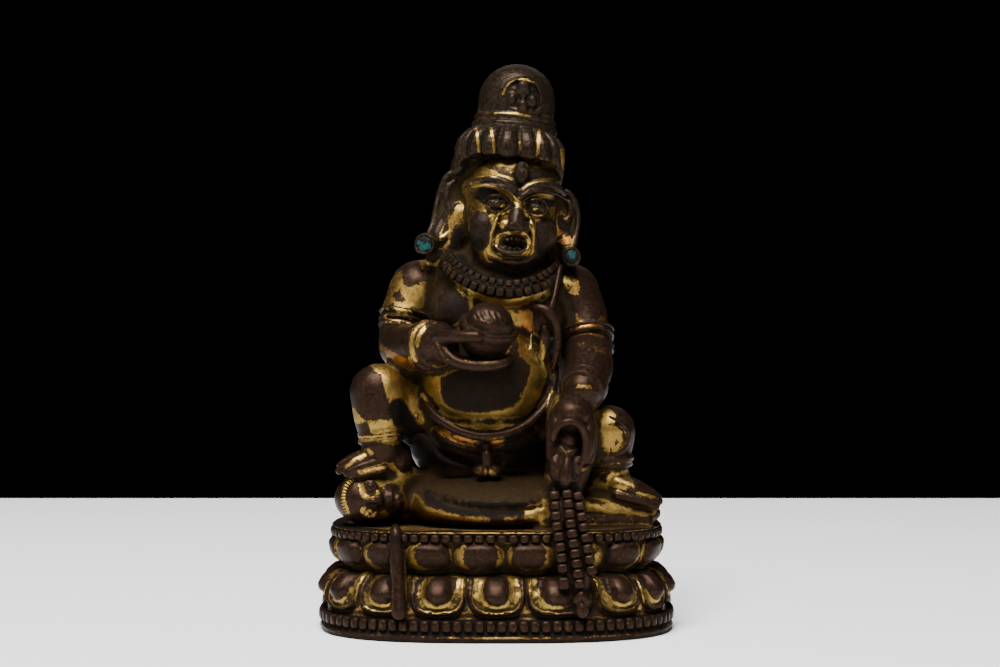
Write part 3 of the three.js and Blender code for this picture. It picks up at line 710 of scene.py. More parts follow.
def face(clay):
    """Eyes, brows, nose, cheek folds, lips, chin and the third eye, as far as they stand out."""
    eye(clay, -3.95, 0.25, 2.25, 1.4, -1)
    eye(clay, 4.3, 0.3, 2.1, 1.35, 1)
    crest = [
        (-0.7, -11.6, 0.9, 0.34), (0.4, -11.75, 2.3, 0.38), (1.9, -11.7, 3.3, 0.36), (3.9, -11.3, 3.7, 0.36),
        (6.4, -10, 3.7, 0.34), (8.6, -7.4, 3.3, 0.3),
    ]
    brow = [
        (-0.2, -11, 3, 0.8), (1.8, -11, 4.4, 1.05), (4.4, -10.3, 5, 1.1), (7, -8.6, 4.9, 1),
        (9, -5.8, 4.2, 0.8),
    ]
    for ridge in (crest, brow):
        limb(clay, [(x + 0.9, *rest) for x, *rest in ridge], HEAD, sides=10)
        limb(clay, [(x - 0.4, *rest) for x, *rest in mirrored(ridge)], HEAD, sides=10)
    limb(clay, [
        (0.35, -10.7, 2, 0.9), (0.35, -11, 0.6, 1.05), (0.35, -11.4, -0.8, 1.3), (0.3, -11.9, -2.3, 1.65),
        (0.3, -12.1, -3.8, 2),
    ], HEAD)
    ball(clay, (0.3, -12.7, -4.1), (2.1, 1.4, 1.25), HEAD)
    for side in (-1, 1):
        ball(clay, (0.25 + 2.05 * side, -11.8, -3.9), (1.3, 1.45, 1.2), HEAD)
        fold = [
            (3.3, -10.3, -1.8, 0.5), (4, -10.4, -3.8, 0.85), (4.7, -9.9, -6.2, 1.1), (4.6, -9.5, -8.4, 1.15),
            (3.6, -9.7, -10.2, 0.9), (1.6, -10.2, -11, 0.6),
        ]
        limb(clay, [(side * x, *rest) for x, *rest in fold], HEAD, sides=10)
    ball(clay, (0.2, -9.3, -7.2), (4.1, 2.7, 3.3), HEAD)
    upper_lip = [
        (-3.4, -10.9, -7.9, 0.3), (-3.2, -11.4, -6.4, 0.36), (-2.1, -11.9, -5.5, 0.38),
        (-0.9, -12.1, -5.6, 0.38), (0.1, -12.1, -5.8, 0.36), (1.1, -12.1, -5.5, 0.38),
        (2.4, -11.9, -5.3, 0.38), (3.3, -11.4, -6, 0.36), (3.6, -10.9, -7.4, 0.3),
    ]
    lower_lip = [
        (-3.4, -10.9, -7.9, 0.3), (-2.7, -11.4, -8.9, 0.45), (-1.2, -11.7, -9.4, 0.55),
        (0.3, -11.8, -9.4, 0.58), (1.9, -11.7, -9.1, 0.55), (3.1, -11.4, -8.4, 0.45),
        (3.6, -10.9, -7.4, 0.3),
    ]
    limbs(clay, (upper_lip, lower_lip), HEAD, sides=10)
    ball(clay, (0.2, -10.2, -11), (2.1, 1.2, 1), HEAD)
    almond = [
        (0, 1.7), (-0.75, 0.9), (-1, 0), (-0.75, -0.9), (0, -1.8), (0.75, -0.9), (1, 0), (0.75, 0.9),
        (0, 1.7),
    ]
    ball(clay, (0.6, -10.2, 6.8), (1.7, 1, 2.6), HEAD)
    limb(clay, [(0.6 + x, -11.1 + 0.05 * z, 6.9 + z, 0.3) for x, z in almond], HEAD, sides=8)
    ball(clay, (0.6, -10.9, 6.9), (0.62, 0.85, 0.9), HEAD, fineness=3)


def lock_share(turn):
    """0 in the groove between two locks to 1 along the middle of a lock."""
    phase = (turn + math.pi / 2 - LOCK_START) * HAIR_LOCKS / (2 * math.pi)
    return np.sqrt(np.clip(1 - (2 * (phase - np.floor(phase)) - 1) ** 2, 0, 1))


def hair(clay):
    """Locks combed down from the topknot: an egg shape with scalloped sides and a scalloped hem."""
    cx, cy = HAIR_CENTRE
    wide, deep = HAIR_HALF_SIZES
    fresh = bmesh.new()
    made = bmesh.ops.create_uvsphere(fresh, u_segments=288, v_segments=60, radius=1)["verts"]
    sphere = np.array([v.co for v in made])
    turn = np.arctan2(sphere[:, 1], sphere[:, 0])
    latitude = np.arcsin(np.clip(sphere[:, 2], -1, 1)) / (math.pi / 2)
    steps, spread, height = np.array(HAIR_PROFILE).T
    lock = lock_share(turn)
    low = 1 - step_up(latitude, -0.6, 0.1)
    sides = np.cos(turn) ** 10
    behind = step_up(np.sin(turn), 0.3, 0.8)
    out = np.interp(latitude, steps, spread)
    z = np.interp(latitude, steps, height) - low * (0.9 * lock + 4.0 * sides + 5.6 * behind)
    inward = LOCK_DEPTH * (1 - lock) * np.interp(latitude, [-1, -0.5, 0.6, 1], [0, 1, 0.9, 0])
    across, along = (np.sign(part) * abs(part) ** 0.9 for part in (np.cos(turn), np.sin(turn)))
    x = cx + (out * wide - inward) * across
    y = cy + (out * deep - inward) * along
    for vertex, place in zip(made, np.column_stack([x, y, z])):
        vertex.co = HEAD @ Vector(place)
    merge_into(clay, fresh)
    for k in range(9):
        t = math.pi * (k + 0.5) / 9
        top = (cx + 10.2 * math.cos(t), cy + 4.4 + 6.6 * math.sin(t))
        low_end = (-0.4 + 8.6 * math.cos(t), 4 + 6.4 * math.sin(t))
        limb(clay, [(*top, 9.5, 1.7), (top[0], top[1] + 0.4, 4, 1.8), (*low_end, -3.5, 1.5)], HEAD)


def topknot(clay):
    """The topknot with its two bands, and the niche with its small seated figure."""
    x, y = TOPKNOT_AXIS
    turned(clay, [(r, CROWN - depth) for r, depth in TOPKNOT_PROFILE], HEAD @ Matrix.Translation((x, y, 0)))
    for z, size, tube in ((19, 7.95, 0.72), (17.3, 8.3, 0.85)):
        hoop(clay, (x, y, z), (0, 0, 1), (size, size), tube, HEAD)
    front = y - TOPKNOT_RADIUS
    middle = -0.3
    arch = [
        (-3.9, 0.8, 20.2, 0.3), (-4.3, 1, 22.6, 0.32), (-3.2, 0.5, 25.6, 0.34), (-0.3, 0.1, 27.2, 0.36),
        (2.6, 0.4, 25.6, 0.34), (3.7, 0.8, 22.6, 0.32), (3.3, 0.6, 20.2, 0.3),
    ]
    limb(clay, [(a, front + b, c, r) for a, b, c, r in arch], HEAD, sides=8)
    ball(clay, (middle, front - 0.1, 25), (1.3, 1, 1.35), HEAD, fineness=3)
    ball(clay, (-0.1, front - 0.2, 21.2), (1, 0.85, 1.2), HEAD, fineness=3)
    for side in (-1, 1):
        ball(clay, (middle + 2.05 * side, front + 0.3, 22.3), (0.9, 0.9, 1.35), HEAD, fineness=3)
        arm = [(middle + 1.3 * side, front + 0.1, 24.2, 0.3), (-0.2, front - 0.4, 22.9, 0.34)]
        leg = [(-0.2 + 2.9 * side, front + 0.8, 20.4, 0.5), (-0.2, front - 0.1, 19.9, 0.55)]
        limbs(clay, [arm, leg], HEAD, sides=8)


def ears(clay):
    """Long splayed ears with their rims and inner ridges, and the hair behind them."""
    right = [(-9, 5, 90.8, 2.6), (-10, 4.6, 86.8, 3), (-11.6, 2.6, 81.8, 2.4), (-13.4, 0.6, 78.8, 1.7)]
    left = [(14.4, 5, 86.9, 2.3), (14.9, 4.6, 83.4, 2.6), (14.6, 2.6, 79.4, 2.1), (14.9, 0.3, 76.6, 1.6)]
    limb(clay, right, flatten=((0.2, 1, 0), 0.55))
    limb(clay, left, flatten=((-0.2, 1, 0), 0.55))
    right_rim = [
        (-7.5, 3.9, 89.6, 0.5), (-8, 3.8, 92.1, 0.6), (-9.6, 3.6, 92.9, 0.7), (-11.2, 3.5, 90.8, 0.7),
        (-12.3, 2.9, 87, 0.66), (-13.2, 1.5, 82.4, 0.64), (-14.2, -0.3, 79.6, 0.6),
    ]
    left_rim = [
        (12.8, 3.9, 85.6, 0.46), (13.2, 3.8, 88.2, 0.58), (14.6, 3.6, 89.1, 0.66), (16.3, 3.5, 87, 0.66),
        (16.9, 2.9, 83.6, 0.62), (16.4, 1.5, 79.4, 0.58), (15.9, -0.2, 77, 0.5),
    ]
    right_inner = [
        (-8.6, 3.4, 91.4, 0.4), (-9.9, 3.1, 90.2, 0.5), (-10.4, 2.8, 87.4, 0.55), (-9.7, 2.3, 84.4, 0.5),
        (-10.2, 1.6, 82, 0.4),
    ]
    left_inner = [
        (13.8, 3.4, 87.6, 0.36), (15, 3.1, 86.6, 0.45), (15.3, 2.7, 84.2, 0.5), (14.5, 2.3, 81.6, 0.45),
        (14.6, 1.7, 79.6, 0.36),
    ]
    limbs(clay, (right_rim, left_rim, right_inner, left_inner), sides=10)
    limbs(clay, [
        [(-7.8, 3.2, 85.6, 0.5), (-9, 1.9, 81.8, 0.55), (-11.2, 0.2, 79, 0.5)],
        [(12.3, 3.4, 82.8, 0.45), (12.7, 2.2, 79.6, 0.5), (13.3, 0.4, 77.4, 0.45)],
    ], sides=10)
    limbs(clay, [
        [(-7, 4.5, 84, 4), (-10.6, 4.2, 76, 3.6), (-13, 4.4, 71, 3.6)],
        [(12, 5, 82, 4), (12.8, 5, 74, 3.6)],
    ])


def ornament_frame(place):
    """The frame of an ear ornament, whose own Z points out of its face."""
    return placing((0, 0, place["turn"]), place["centre"]) @ Matrix.Rotation(math.pi / 2, 4, "X")


def ear_ornaments(clay):
    half = ORNAMENT_LENGTH / 2
    for place in EAR_ORNAMENTS.values():
        r = place["radius"]
        inner = r - RIM_WIDTH
        floor = half - STONE_DEPTH
        profile = [
            (0, -half), (r * 0.8, -half), (r, -half + 0.3), (r, half - 0.35), (r - 0.18, half - 0.08),
            (r - 0.36, half), (inner, half - 0.15), (inner, floor), (0, floor),
        ]
        turned(clay, profile, ornament_frame(place))


def necklace(clay):
    limb(clay, [(x * 0.96, y * 0.96, z - 0.1, 1.25) for x, y, z in NECKLACE_ROUTE])


def necklace_beads(clay):
    lower = [(x * 1.06 - 0.1, y * 1.06 - 0.3, z - 1, 1) for x, y, z in NECKLACE_ROUTE]
    upper = [(x * 0.98 + 0.1, y * 0.99 - 0.1, z + 0.95, 1) for x, y, z in NECKLACE_ROUTE]
    for row, pitch, half_sizes in ((lower, 1.85, (0.82, 0.9, 0.85)), (upper, 1.65, (0.72, 0.74, 0.8))):
        beads_along(clay, row, pitch, half_sizes, lambda p: p - NECKLACE_CENTRE, squareness=0.42, gilt=0.28)


# Beads and teeth, whose edges are crisper than the rest of the cast surface


def base_beads(clay):
    """The two rows of square beads round the base."""
    lengths, points, outward = plan_outline()
    total = lengths[-1]
    rows = ((LOWER_BEADS, 3.25, 1.2, (0.9, 1.12, 1.0)), (UPPER_BEADS, 19.75, 3.45, (0.88, 0.82, 0.95)))
    for count, z, inset, half_sizes in rows:
        for k in range(count):
            wanted = (k + 0.5) * total / count
            x, y = (np.interp(wanted, lengths, points[:, axis]) for axis in (0, 1))
            out = Vector([np.interp(wanted, lengths, outward[:, axis]) for axis in (0, 1)] + [0]).normalized()
            jitter = Vector((noise.noise((k, z, 0)), noise.noise((k, z, 9)), noise.noise((k, z, 5)))) * 0.09
            sizes = [half * (1 + 0.06 * noise.noise((k, z, 2 + n))) for n, half in enumerate(half_sizes)]
            middle = Vector((x, y, z)) - out * inset + jitter
            along = Vector((-out.y, out.x, 0.05 * noise.noise((k, z, 7))))
            bead(clay, middle, along, out, sizes, squareness=0.52, fineness=2, gilt=0.2)


def prone_hairline(clay):
    half_sizes = (0.25, 0.62, 0.5)
    beads_along(clay, PRONE_HAIRLINE, 0.62, half_sizes, lambda p: Vector((-0.3, -1, 0)), fineness=2, gilt=0.8)


def teeth(clay):
    upper = [(-1.15, -6.55, 0.42), (-0.3, -6.35, 0.38), (0.5, -6.3, 0.4), (1.3, -6.4, 0.42)]
    lower = [(-1.2, -8.25, 0.45), (-0.2, -8.45, 0.4), (1.1, -8.2, 0.42)]
    for row, shine in ((upper, 0.7), (lower, 0.3)):
        for x, z, size in row:
            half_sizes = (size, size * 1.1, 0.7)
            bead(clay, (x, -10.8, z), (1, 0, 0), (0, -1, 0), half_sizes, HEAD, fineness=2, gilt=shine)


def beadwork_mesh():
    clay = bmesh.new()
    for layer in ("flank", "gilt"):
        clay.verts.layers.float.new(layer)
    for form in (base_beads, string_beads, necklace_beads, prone_hairline, teeth):
        form(clay)
    return mesh_of(clay, "beadwork")


# The skin: all forms melted into one closed mesh, then worked over


def with_modifiers(holder):
    """The mesh of an object with its modifiers applied. The object goes."""
    made = bpy.data.meshes.new_from_object(holder.evaluated_get(bpy.context.evaluated_depsgraph_get()))
    bpy.data.objects.remove(holder)
    return made


def melted(clay, voxel):
    """The forms of one bmesh, melted into one closed mesh."""
    forms = mesh_of(clay, "forms")
    holder = put_object("forms", forms)
    melt = holder.modifiers.new("melt", "REMESH")
    melt.mode = "VOXEL"
    melt.voxel_size = voxel
    whole = with_modifiers(holder)
    bpy.data.meshes.remove(forms)
    return whole


def rows_of(items, field, width=1, kind=np.float32):
    """A field of a mesh's vertices, edges or values, one row for each."""
    rows = np.empty(len(items) * width, kind)
    items.foreach_get(field, rows)
    return rows.reshape(-1, width) if width > 1 else rows


def places_of(mesh):
    return rows_of(mesh.vertices, "co", 3).astype(float)


def normals_of(mesh):
    return rows_of(mesh.vertex_normals, "vector", 3).astype(float)


def edges_of(mesh):
    return rows_of(mesh.edges, "vertices", 2, np.int32)


def put_places(mesh, rows):
    mesh.vertices.foreach_set("co", rows.astype(np.float32).ravel())
    mesh.update()


def evened(values, edges, rounds, share=0.5):
    """Values at the vertices, each moved towards the mean of its neighbours."""
    a, b = edges.T
    count = len(values)
    neighbours = np.bincount(a, minlength=count) + np.bincount(b, minlength=count)
    values = np.array(values, float)
    flat = values.reshape(count, -1)
    for _ in range(rounds):
        for column in flat.T:
            total = np.bincount(a, column[b], count) + np.bincount(b, column[a], count)
            column += share * (total / neighbours - column)
    return values


class Skin:
    """The vertices of a melted mesh while they are worked with chasing tools."""

    def __init__(self, mesh):
        self.mesh = mesh
        self.places = places_of(mesh)
        self.normals = normals_of(mesh)

    def settle(self):
        put_places(self.mesh, self.places)
        self.normals = normals_of(self.mesh)

    def near(self, points, reach):
        low, high = points.min(0) - reach, points.max(0) + reach
        return np.flatnonzero(((self.places > low) & (self.places < high)).all(1))

    def line(self, route, width, lift, frame=UPRIGHT, slack=0.3, facing=True):
        """Raises the skin along a route of x, y, z and share, or cuts it where lift is below 0.
        slack is how much a difference in depth counts against one across the view."""
        path = smooth_path([(*p, 1) if len(p) == 3 else p for p in route], width / 3)
        turn = np.array(frame.to_3x3())
        origin = np.array(frame.translation)
        world = path[:, :3] @ turn.T + origin
        chosen = self.near(world, width / slack)
        if not len(chosen):
            return
        local = (self.places[chosen] - origin) @ turn
        gap = local[:, None, :] - path[None, :, :3]
        gap[:, :, 1] *= slack
        squared = (gap**2).sum(2)
        nearest = squared.argmin(1)
        share = path[nearest, 3]
        reach = np.maximum(width * np.sqrt(np.clip(share, 0.05, 1)), 0.05)
        t = np.clip(1 - squared[np.arange(len(chosen)), nearest] / reach**2, 0, 1)
        if facing:
            t *= np.clip(-(self.normals[chosen] @ turn)[:, 1] * 4, 0, 1)
        self.places[chosen] += self.normals[chosen] * (lift * share * t * t)[:, None]

    def press(self, centre, half_sizes, lift, frame=UPRIGHT, along=None):
        """Raises or sinks a round patch, along its normals or along a direction."""
        turn = np.array(frame.to_3x3())
        origin = np.array(frame.translation)
        middle = np.array(centre, float) @ turn.T + origin
        chosen = self.near(middle[None, :], max(half_sizes))
        local = ((self.places[chosen] - middle) @ turn) / np.array(half_sizes)
        t = np.clip(1 - (local**2).sum(1), 0, 1)
        way = self.normals[chosen] if along is None else np.array(along, float) @ turn.T
        self.places[chosen] += way * (lift * t * t)[:, None]


def chase_face(skin):
    """Mouth, eyes, nostrils and the engraved lines of the face."""
    skin.press((0.25, -11.4, -7.35), (2.95, 3, 1.7), 2.4, HEAD, along=(0, 1, 0))
    skin.settle()
    for x, z, size in (
        (-1.5, -6.6, 0.5), (-0.55, -6.6, 0.48), (0.4, -6.5, 0.48), (1.3, -6.5, 0.48), (2.1, -6.6, 0.42),
    ):
        skin.press((x, -10.4, z), (size, 1.8, 0.8), 1.25, HEAD, along=(0, -1, 0))
    for x in (-1.3, -0.4, 0.6, 1.5):
        skin.press((x, -10.2, -8.25), (0.5, 1.8, 0.65), 1.1, HEAD, along=(0, -1, 0))
    skin.settle()
    for side, x, z, wide, high in ((-1, -3.95, 0.25, 2.25, 1.4), (1, 4.3, 0.3, 2.1, 1.35)):
        skin.line(upright_ring(x, -10.9, z, 0.98 * wide, 0.98 * high, 24), 0.34, -0.42, HEAD)
        skin.line(upright_ring(x + 0.3, -11.6, z - 0.05, 0.78, 0.74, 24), 0.24, -0.2, HEAD)
        skin.press((x + 0.3, -11.5, z), (0.42, 1.2, 0.42), -0.16, HEAD)
        bag = ((-2.9, -1.5), (-1.2, -2.5), (0.8, -2.6), (2.4, -1.8))
        skin.line([(x - side * a, -11, z + c) for a, c in bag], 0.34, -0.2, HEAD)
    skin.line(upright_ring(0.6, -12, 6.9, 0.42, 0.62, 16), 0.22, -0.24, HEAD)
    lines = [
        [(0.5, -12, 3.2, 0.6), (1.6, -12, 4, 1), (3.6, -11.4, 4.5, 1), (6.2, -10, 4.5, 1), (8.4, -7, 4, 0.5)],
        [(0.6, -11.8, 4.9, 0.4), (2.4, -11.4, 6, 1), (4.8, -10.6, 6.5, 1), (7.2, -8.8, 6.4, 0.6)],
        [
            (-0.2, -12, 0.9, 0.8), (1.2, -12, 2.2, 1), (2.8, -11.6, 3, 1), (4.8, -10.8, 3.1, 1),
            (7, -9.4, 2.9, 0.5),
        ],
    ]
    for line in lines:
        skin.line([(x + 0.8, *rest) for x, *rest in line], 0.3, -0.24, HEAD)
        skin.line([(x - 0.3, *rest) for x, *rest in mirrored(line)], 0.3, -0.24, HEAD)
    for side in (-1, 1):
        nostril = [
            (1.2, -13, -4.8), (1.9, -13, -4.6), (2.5, -12.6, -4), (2.2, -12.4, -3.4), (1.5, -12.6, -3.5),
        ]
        skin.line([(0.3 + side * (x + 0.3), *rest) for x, *rest in nostril], 0.3, -0.34, HEAD)
        fold = [
            (3.6, -11, -1.6, 0.6), (4.5, -10.8, -3.2, 1), (5.2, -10.2, -5.2, 1), (5.6, -9.6, -7.6, 1),
            (5.2, -9.6, -9.8, 0.8), (3.2, -9.8, -11.4, 0.5),
        ]
        skin.line([(side * x, *rest) for x, *rest in fold], 0.6, -0.38, HEAD)
        inner = [
            (2.9, -11.6, -4.9, 0.7), (3.75, -11.4, -6.2, 1), (3.9, -11.2, -8, 1), (3.1, -11.2, -9.6, 0.8),
            (1.2, -11.4, -10.1, 0.6),
        ]
        skin.line([(0.1 + side * x, *rest) for x, *rest in inner], 0.3, -0.25, HEAD)
    for z, wide in ((-12.8, 6.4), (-14, 6.8)):
        crease = [(wide * s, -6.5 + 3 * s * s, z + 1.4 * s * s) for s in (-1, -0.5, 0, 0.5, 1)]
        skin.line(crease, 0.6, -0.35, HEAD)
    hairline = [(x, -11.2 + 0.03 * x * x, 9.8 - 0.02 * x * x) for x in (-8.6, -6, -3, 0, 3, 6, 8.6)]
    skin.line(hairline, 0.4, -0.3, HEAD)


def chase_hair(skin):
    """Deepens the grooves between the locks."""
    cx, cy = HAIR_CENTRE
    wide, deep = HAIR_HALF_SIZES
    for k in range(HAIR_LOCKS):
        t = 2 * math.pi * k / HAIR_LOCKS - math.pi / 2 + LOCK_START
        shape = [(0.93, 10.2, 1), (0.94, 11.4, 1), (0.93, 13, 1), (0.86, 14.9, 0.9), (0.76, 16.2, 0.5)]
        route = [
            (cx + share * wide * math.cos(t), cy + share * deep * math.sin(t), z, n)
            for share, z, n in shape
        ]
        skin.line(route, 0.5, -0.3, HEAD, slack=1, facing=False)


def chase_topknot_band(skin):
    """Slanting nicks that make the band a twisted cord."""
    x, y = TOPKNOT_AXIS
    for k in range(TOPKNOT_NICKS):
        t = 2 * math.pi * k / TOPKNOT_NICKS
        out = Vector((math.cos(t), math.sin(t), 0))
        way = Vector((-math.sin(t), math.cos(t), 0))
        middle = Vector((x, y, 19.15)) + out * 8.85
        ends = [middle + way * s * 0.35 + Vector((0, 0, 0.6 * s)) for s in (-1, 0, 1)]
        skin.line([tuple(p) for p in ends], 0.25, -0.22, HEAD, slack=1, facing=False)


def chase_bowl(skin):
    """Curved ribs on the heaped filling of the bowl."""
    for k in range(7):
        top, foot = -4.9 + 1.1 * k, -3.5 + 1.05 * k
        rise = 0.75 * math.sin(math.pi * (k + 0.6) / 7)
        route = [
            (top, -24, 64.1 + rise, 0.5), (top + 0.45, -24, 63.1 + 0.5 * rise, 1),
            (foot, -24, 62.1 - 0.12 * k, 0.9),
        ]
        skin.line(route, 0.34, -0.36)
    rim = [(-6.6, -21, 63), (-4.6, -23.4, 62), (-1.8, -24.6, 61.1), (1.2, -24.6, 60.6), (3.4, -23, 60.4)]
    skin.line(rim, 0.3, 0.12)


def chase_body(skin):
    """Shoulder blades, spine, belly folds, elbow, and the lines of the prone figure."""
    for side in (-1, 1):
        skin.line([
            (7.5 * side, 16, 58), (6.0 * side, 17, 52), (7 * side, 16, 46),
        ], 1.6, -0.4, slack=1, facing=False)
    spine = [(0.4, 15, 68), (0.1, 18.4, 60), (-0.3, 18.9, 52), (-0.6, 18.4, 44)]
    skin.line(spine, 1.6, -0.7, slack=1, facing=False)
    folds = [
        [
            (-11, -10.6, 39.4, 0.6), (-6, -13.4, 37, 1), (-1.8, -14, 36.6, 1), (3, -13.2, 37.4, 1),
            (8, -10.6, 40, 0.6),
        ],
        [(-9, -9.8, 36.2, 0.6), (-5, -11.6, 34.6, 1), (-1.8, -12, 34.2, 0.5)],
        [(-1.8, -12, 34.4, 0.5), (3, -11.4, 35, 1), (8, -9, 36.6, 0.6)],
    ]
    for fold in folds:
        skin.line(fold, 0.8, -0.45)
    elbow = [(-24.2, -2, 63.2, 0.5), (-22, -3.6, 62.9, 1), (-18.6, -4.6, 61.6, 1), (-15.6, -4.4, 60.6, 0.6)]
    skin.line(elbow, 0.6, -0.4)
    hollow = [
        (-13.3, -15, 28.1, 0.7), (-9.3, -18, 26.2, 1), (-3.1, -20, 25.1, 1), (5, -19.6, 25.1, 1),
        (8.6, -18, 25.7, 0.6),
    ]
    skin.line(hollow, 1.5, -1)
    crescent = [
        (-16.2, -14.2, 27.4, 0.6), (-14.6, -16.4, 25, 1), (-10, -18.4, 23.6, 1), (-2, -19.4, 22.9, 1),
        (7, -19, 23.2, 0.8),
    ]
    skin.line(crescent, 1.5, 0.5)
    trunk_edge = [(-18, -13.4, 24, 0.6), (-12, -17.4, 22.6, 1), (-2, -19.6, 22.1, 1), (8, -18.6, 22.2, 1)]
    skin.line(trunk_edge, 0.7, -0.35)
    for x, z in ((-18.6, 27), (-17.4, 27.2)):
        skin.line([(x, -12.8, z, 0.6), (x, -14, z - 2.2, 1), (x + 0.2, -14.4, z - 4.2, 0.6)], 0.4, -0.35)
    leg_line = [(12, -17, 23.2), (20, -15.4, 22.9), (29.6, -11.6, 22.4)]
    skin.line(leg_line, 0.5, -0.3)


def chase_hands(skin):
    """Finger ends, toe ends and knuckle lines."""
    for x, y, z in ((-29.8, -13, 32.6), (-28.2, -14, 32), (31, -11, 26.4), (30.6, -11.6, 25.6)):
        ring = [(x + 0.5 * math.cos(t), y, z + 0.5 * math.sin(t)) for t in np.linspace(0, math.pi, 6)]
        skin.line(ring, 0.22, -0.12)
    thumb_nail = [(-4, -26, 59.3), (-3, -26.2, 59.2), (-2.7, -26.2, 58.7), (-3, -26.2, 58.2), (-4, -26, 58.1)]
    skin.line(thumb_nail, 0.22, -0.12)


def uneven(skin):
    """The slight unevenness of a hand-made wax and of long handling."""
    moved = np.empty(len(skin.places))
    for k, place in enumerate(skin.places):
        p = Vector(place)
        moved[k] = 0.10 * noise.noise(p * 0.22) + 0.035 * noise.noise(p * 0.9) + 0.012 * noise.noise(p * 3.1)
    flat_foot = skin.places[:, 2] < 0.4
    moved[flat_foot] = 0
    skin.places += skin.normals * moved[:, None]


def thinned(mesh, triangles, keep):
    """The mesh with fewer triangles, taken mostly from flat and hidden places. keep is a weight a vertex."""
    holder = put_object("thinning", mesh)
    group = holder.vertex_groups.new(name="keep")
    levels = np.clip(np.rint(keep * 4).astype(int), 0, 4)
    for level in range(5):
        chosen = np.flatnonzero(levels == level)
        if len(chosen):
            group.add(chosen.tolist(), level / 4, "REPLACE")
    cut = holder.modifiers.new("thin", "DECIMATE")
    cut.decimate_type = "COLLAPSE"
    cut.ratio = min(1, triangles / (2 * len(mesh.polygons)))
    cut.use_collapse_triangulate = True
    cut.vertex_group = "keep"
    cut.invert_vertex_group = True
    cut.vertex_group_factor = 1.0
    return with_modifiers(holder)


def casting_mesh():
    """The whole casting: soft bodies melted, then the crisp forms with them, chased and thinned."""
    soft = bmesh.new()
    for form in (torso, legs, arms, head_mass, prone_body):
        form(soft)
    body = melted(soft, BODY_VOXEL)
    put_places(body, evened(places_of(body), edges_of(body), 5))
    clay = bmesh.new()
    clay.from_mesh(body)
    bpy.data.meshes.remove(body)
    crisp = (
        lotus_base, strap, body_cords, right_hand, bowl, left_hand, mongoose, jewel_strings, jewellery,
        feet, prone_head, face, hair, topknot, ears, ear_ornaments, necklace,
    )
    for form in crisp:
        fresh = bmesh.new()
        form(fresh)
        merge_into(clay, fresh)
    mesh = melted(clay, SKIN_VOXEL)
    put_places(mesh, evened(places_of(mesh), edges_of(mesh), 2))
    skin = Skin(mesh)
    for work in (chase_face, chase_hair, chase_topknot_band, chase_bowl, chase_body, chase_hands):
        work(skin)
        skin.settle()
    _, y, z = skin.places.T
    front_share = np.where(z < 0.5, 0, 0.25 + 0.75 * step_up(-y, -6, 6))
    face_share = step_up(z, 72, 76) * step_up(-y, -4, 2)
    keep = np.clip(np.maximum(front_share * 0.7, face_share), 0, 1)
    thin = thinned(mesh, TRIANGLES, keep)
    bpy.data.meshes.remove(mesh)
    skin = Skin(thin)
    uneven(skin)
    skin.places[:, 2] = np.maximum(skin.places[:, 2], 0)
    skin.settle()
    return thin


# What the finish reads from the skin


def even_directions(count):
    """Directions spread over a half sphere, more of them near its pole."""
    rows = []
    for k in range(count):
        up = math.sqrt(1 - (k + 0.5) / count)
        turn = k * math.pi * (3 - math.sqrt(5))
        flat = math.sqrt(1 - up * up)
        rows.append((flat * math.cos(turn), flat * math.sin(turn), up))
    return rows


def shelter(mesh):
    """How closed in each vertex is, 0 in the open to 1 in a deep place."""
    places, normals = places_of(mesh), normals_of(mesh)
    corners = rows_of(mesh.loops, "vertex_index", kind=np.int32)
    tree = BVHTree.FromPolygons(places.tolist(), corners.reshape(-1, 3).tolist(), all_triangles=True)
    side = unit(np.cross(normals, np.where(abs(normals[:, 2:3]) < 0.9, [[0, 0, 1]], [[1, 0, 0]])))
    up = np.cross(normals, side)
    starts = places + normals * 0.05
    hits = np.zeros(len(places))
    for a, b, c in even_directions(SHELTER_RAYS):
        ways = side * a + up * b + normals * c
        for k, (start, way) in enumerate(zip(starts.tolist(), ways.tolist())):
            distance = tree.ray_cast(start, way, SHELTER_REACH)[3]
            if distance is not None:
                hits[k] += 1 - 0.6 * distance / SHELTER_REACH
    return hits / SHELTER_RAYS


def put_value(mesh, name, values):
    mesh.attributes.new(name, "FLOAT", "POINT").data.foreach_set("value", values.astype(np.float32))


def front_view(places):
    """Places as seen from the front, in mm on the upright plane through the middle of the figure."""
    eye = np.array(CAMERA_PLACE) / MM
    distance = places[:, 1] - eye[1]
    share = -eye[1] / distance
    rise = math.tan(math.radians(CAMERA_TILT)) * distance
    return np.column_stack([(places[:, 0] - eye[0]) * share, (places[:, 2] - eye[2] - rise) * share])


# Finishes that are brushed on: how gilt, how thin the gilding is, how dark with soot and painted shade, and
# how much of the darkening in a hollow is left off.
# "gold" is thick gilding, "thin" lets the warm copper show through, "half" is half gone, "worn" is bare brown
# copper alloy, "dark" is bare metal with dirt and painted shade in it, the sooty finish is soot in hollows
# with painted shade in gaps and under overhangs, the dimmed gilt finish is gilding under painted shade and
# "dull" is bare metal gone dull.
FINISHES = {
    "gold": (1, 0, 0, 0.55),
    "thin": (0.85, 1, 0.05, 0.6),
    "half": (0.42, 0.3, 0.25, 0.1),
    "worn": (0.07, 0.2, 0, 0),
    "dark": (0.24, 0.2, 0.6, 0),
    "soot_and_shade": (0.2, 0.5, 0.9, 0),
    "shaded_gilding": (0.9, 0.6, 0.78, 0),
    "dull": (0.05, 0.2, 0.42, 0),
}
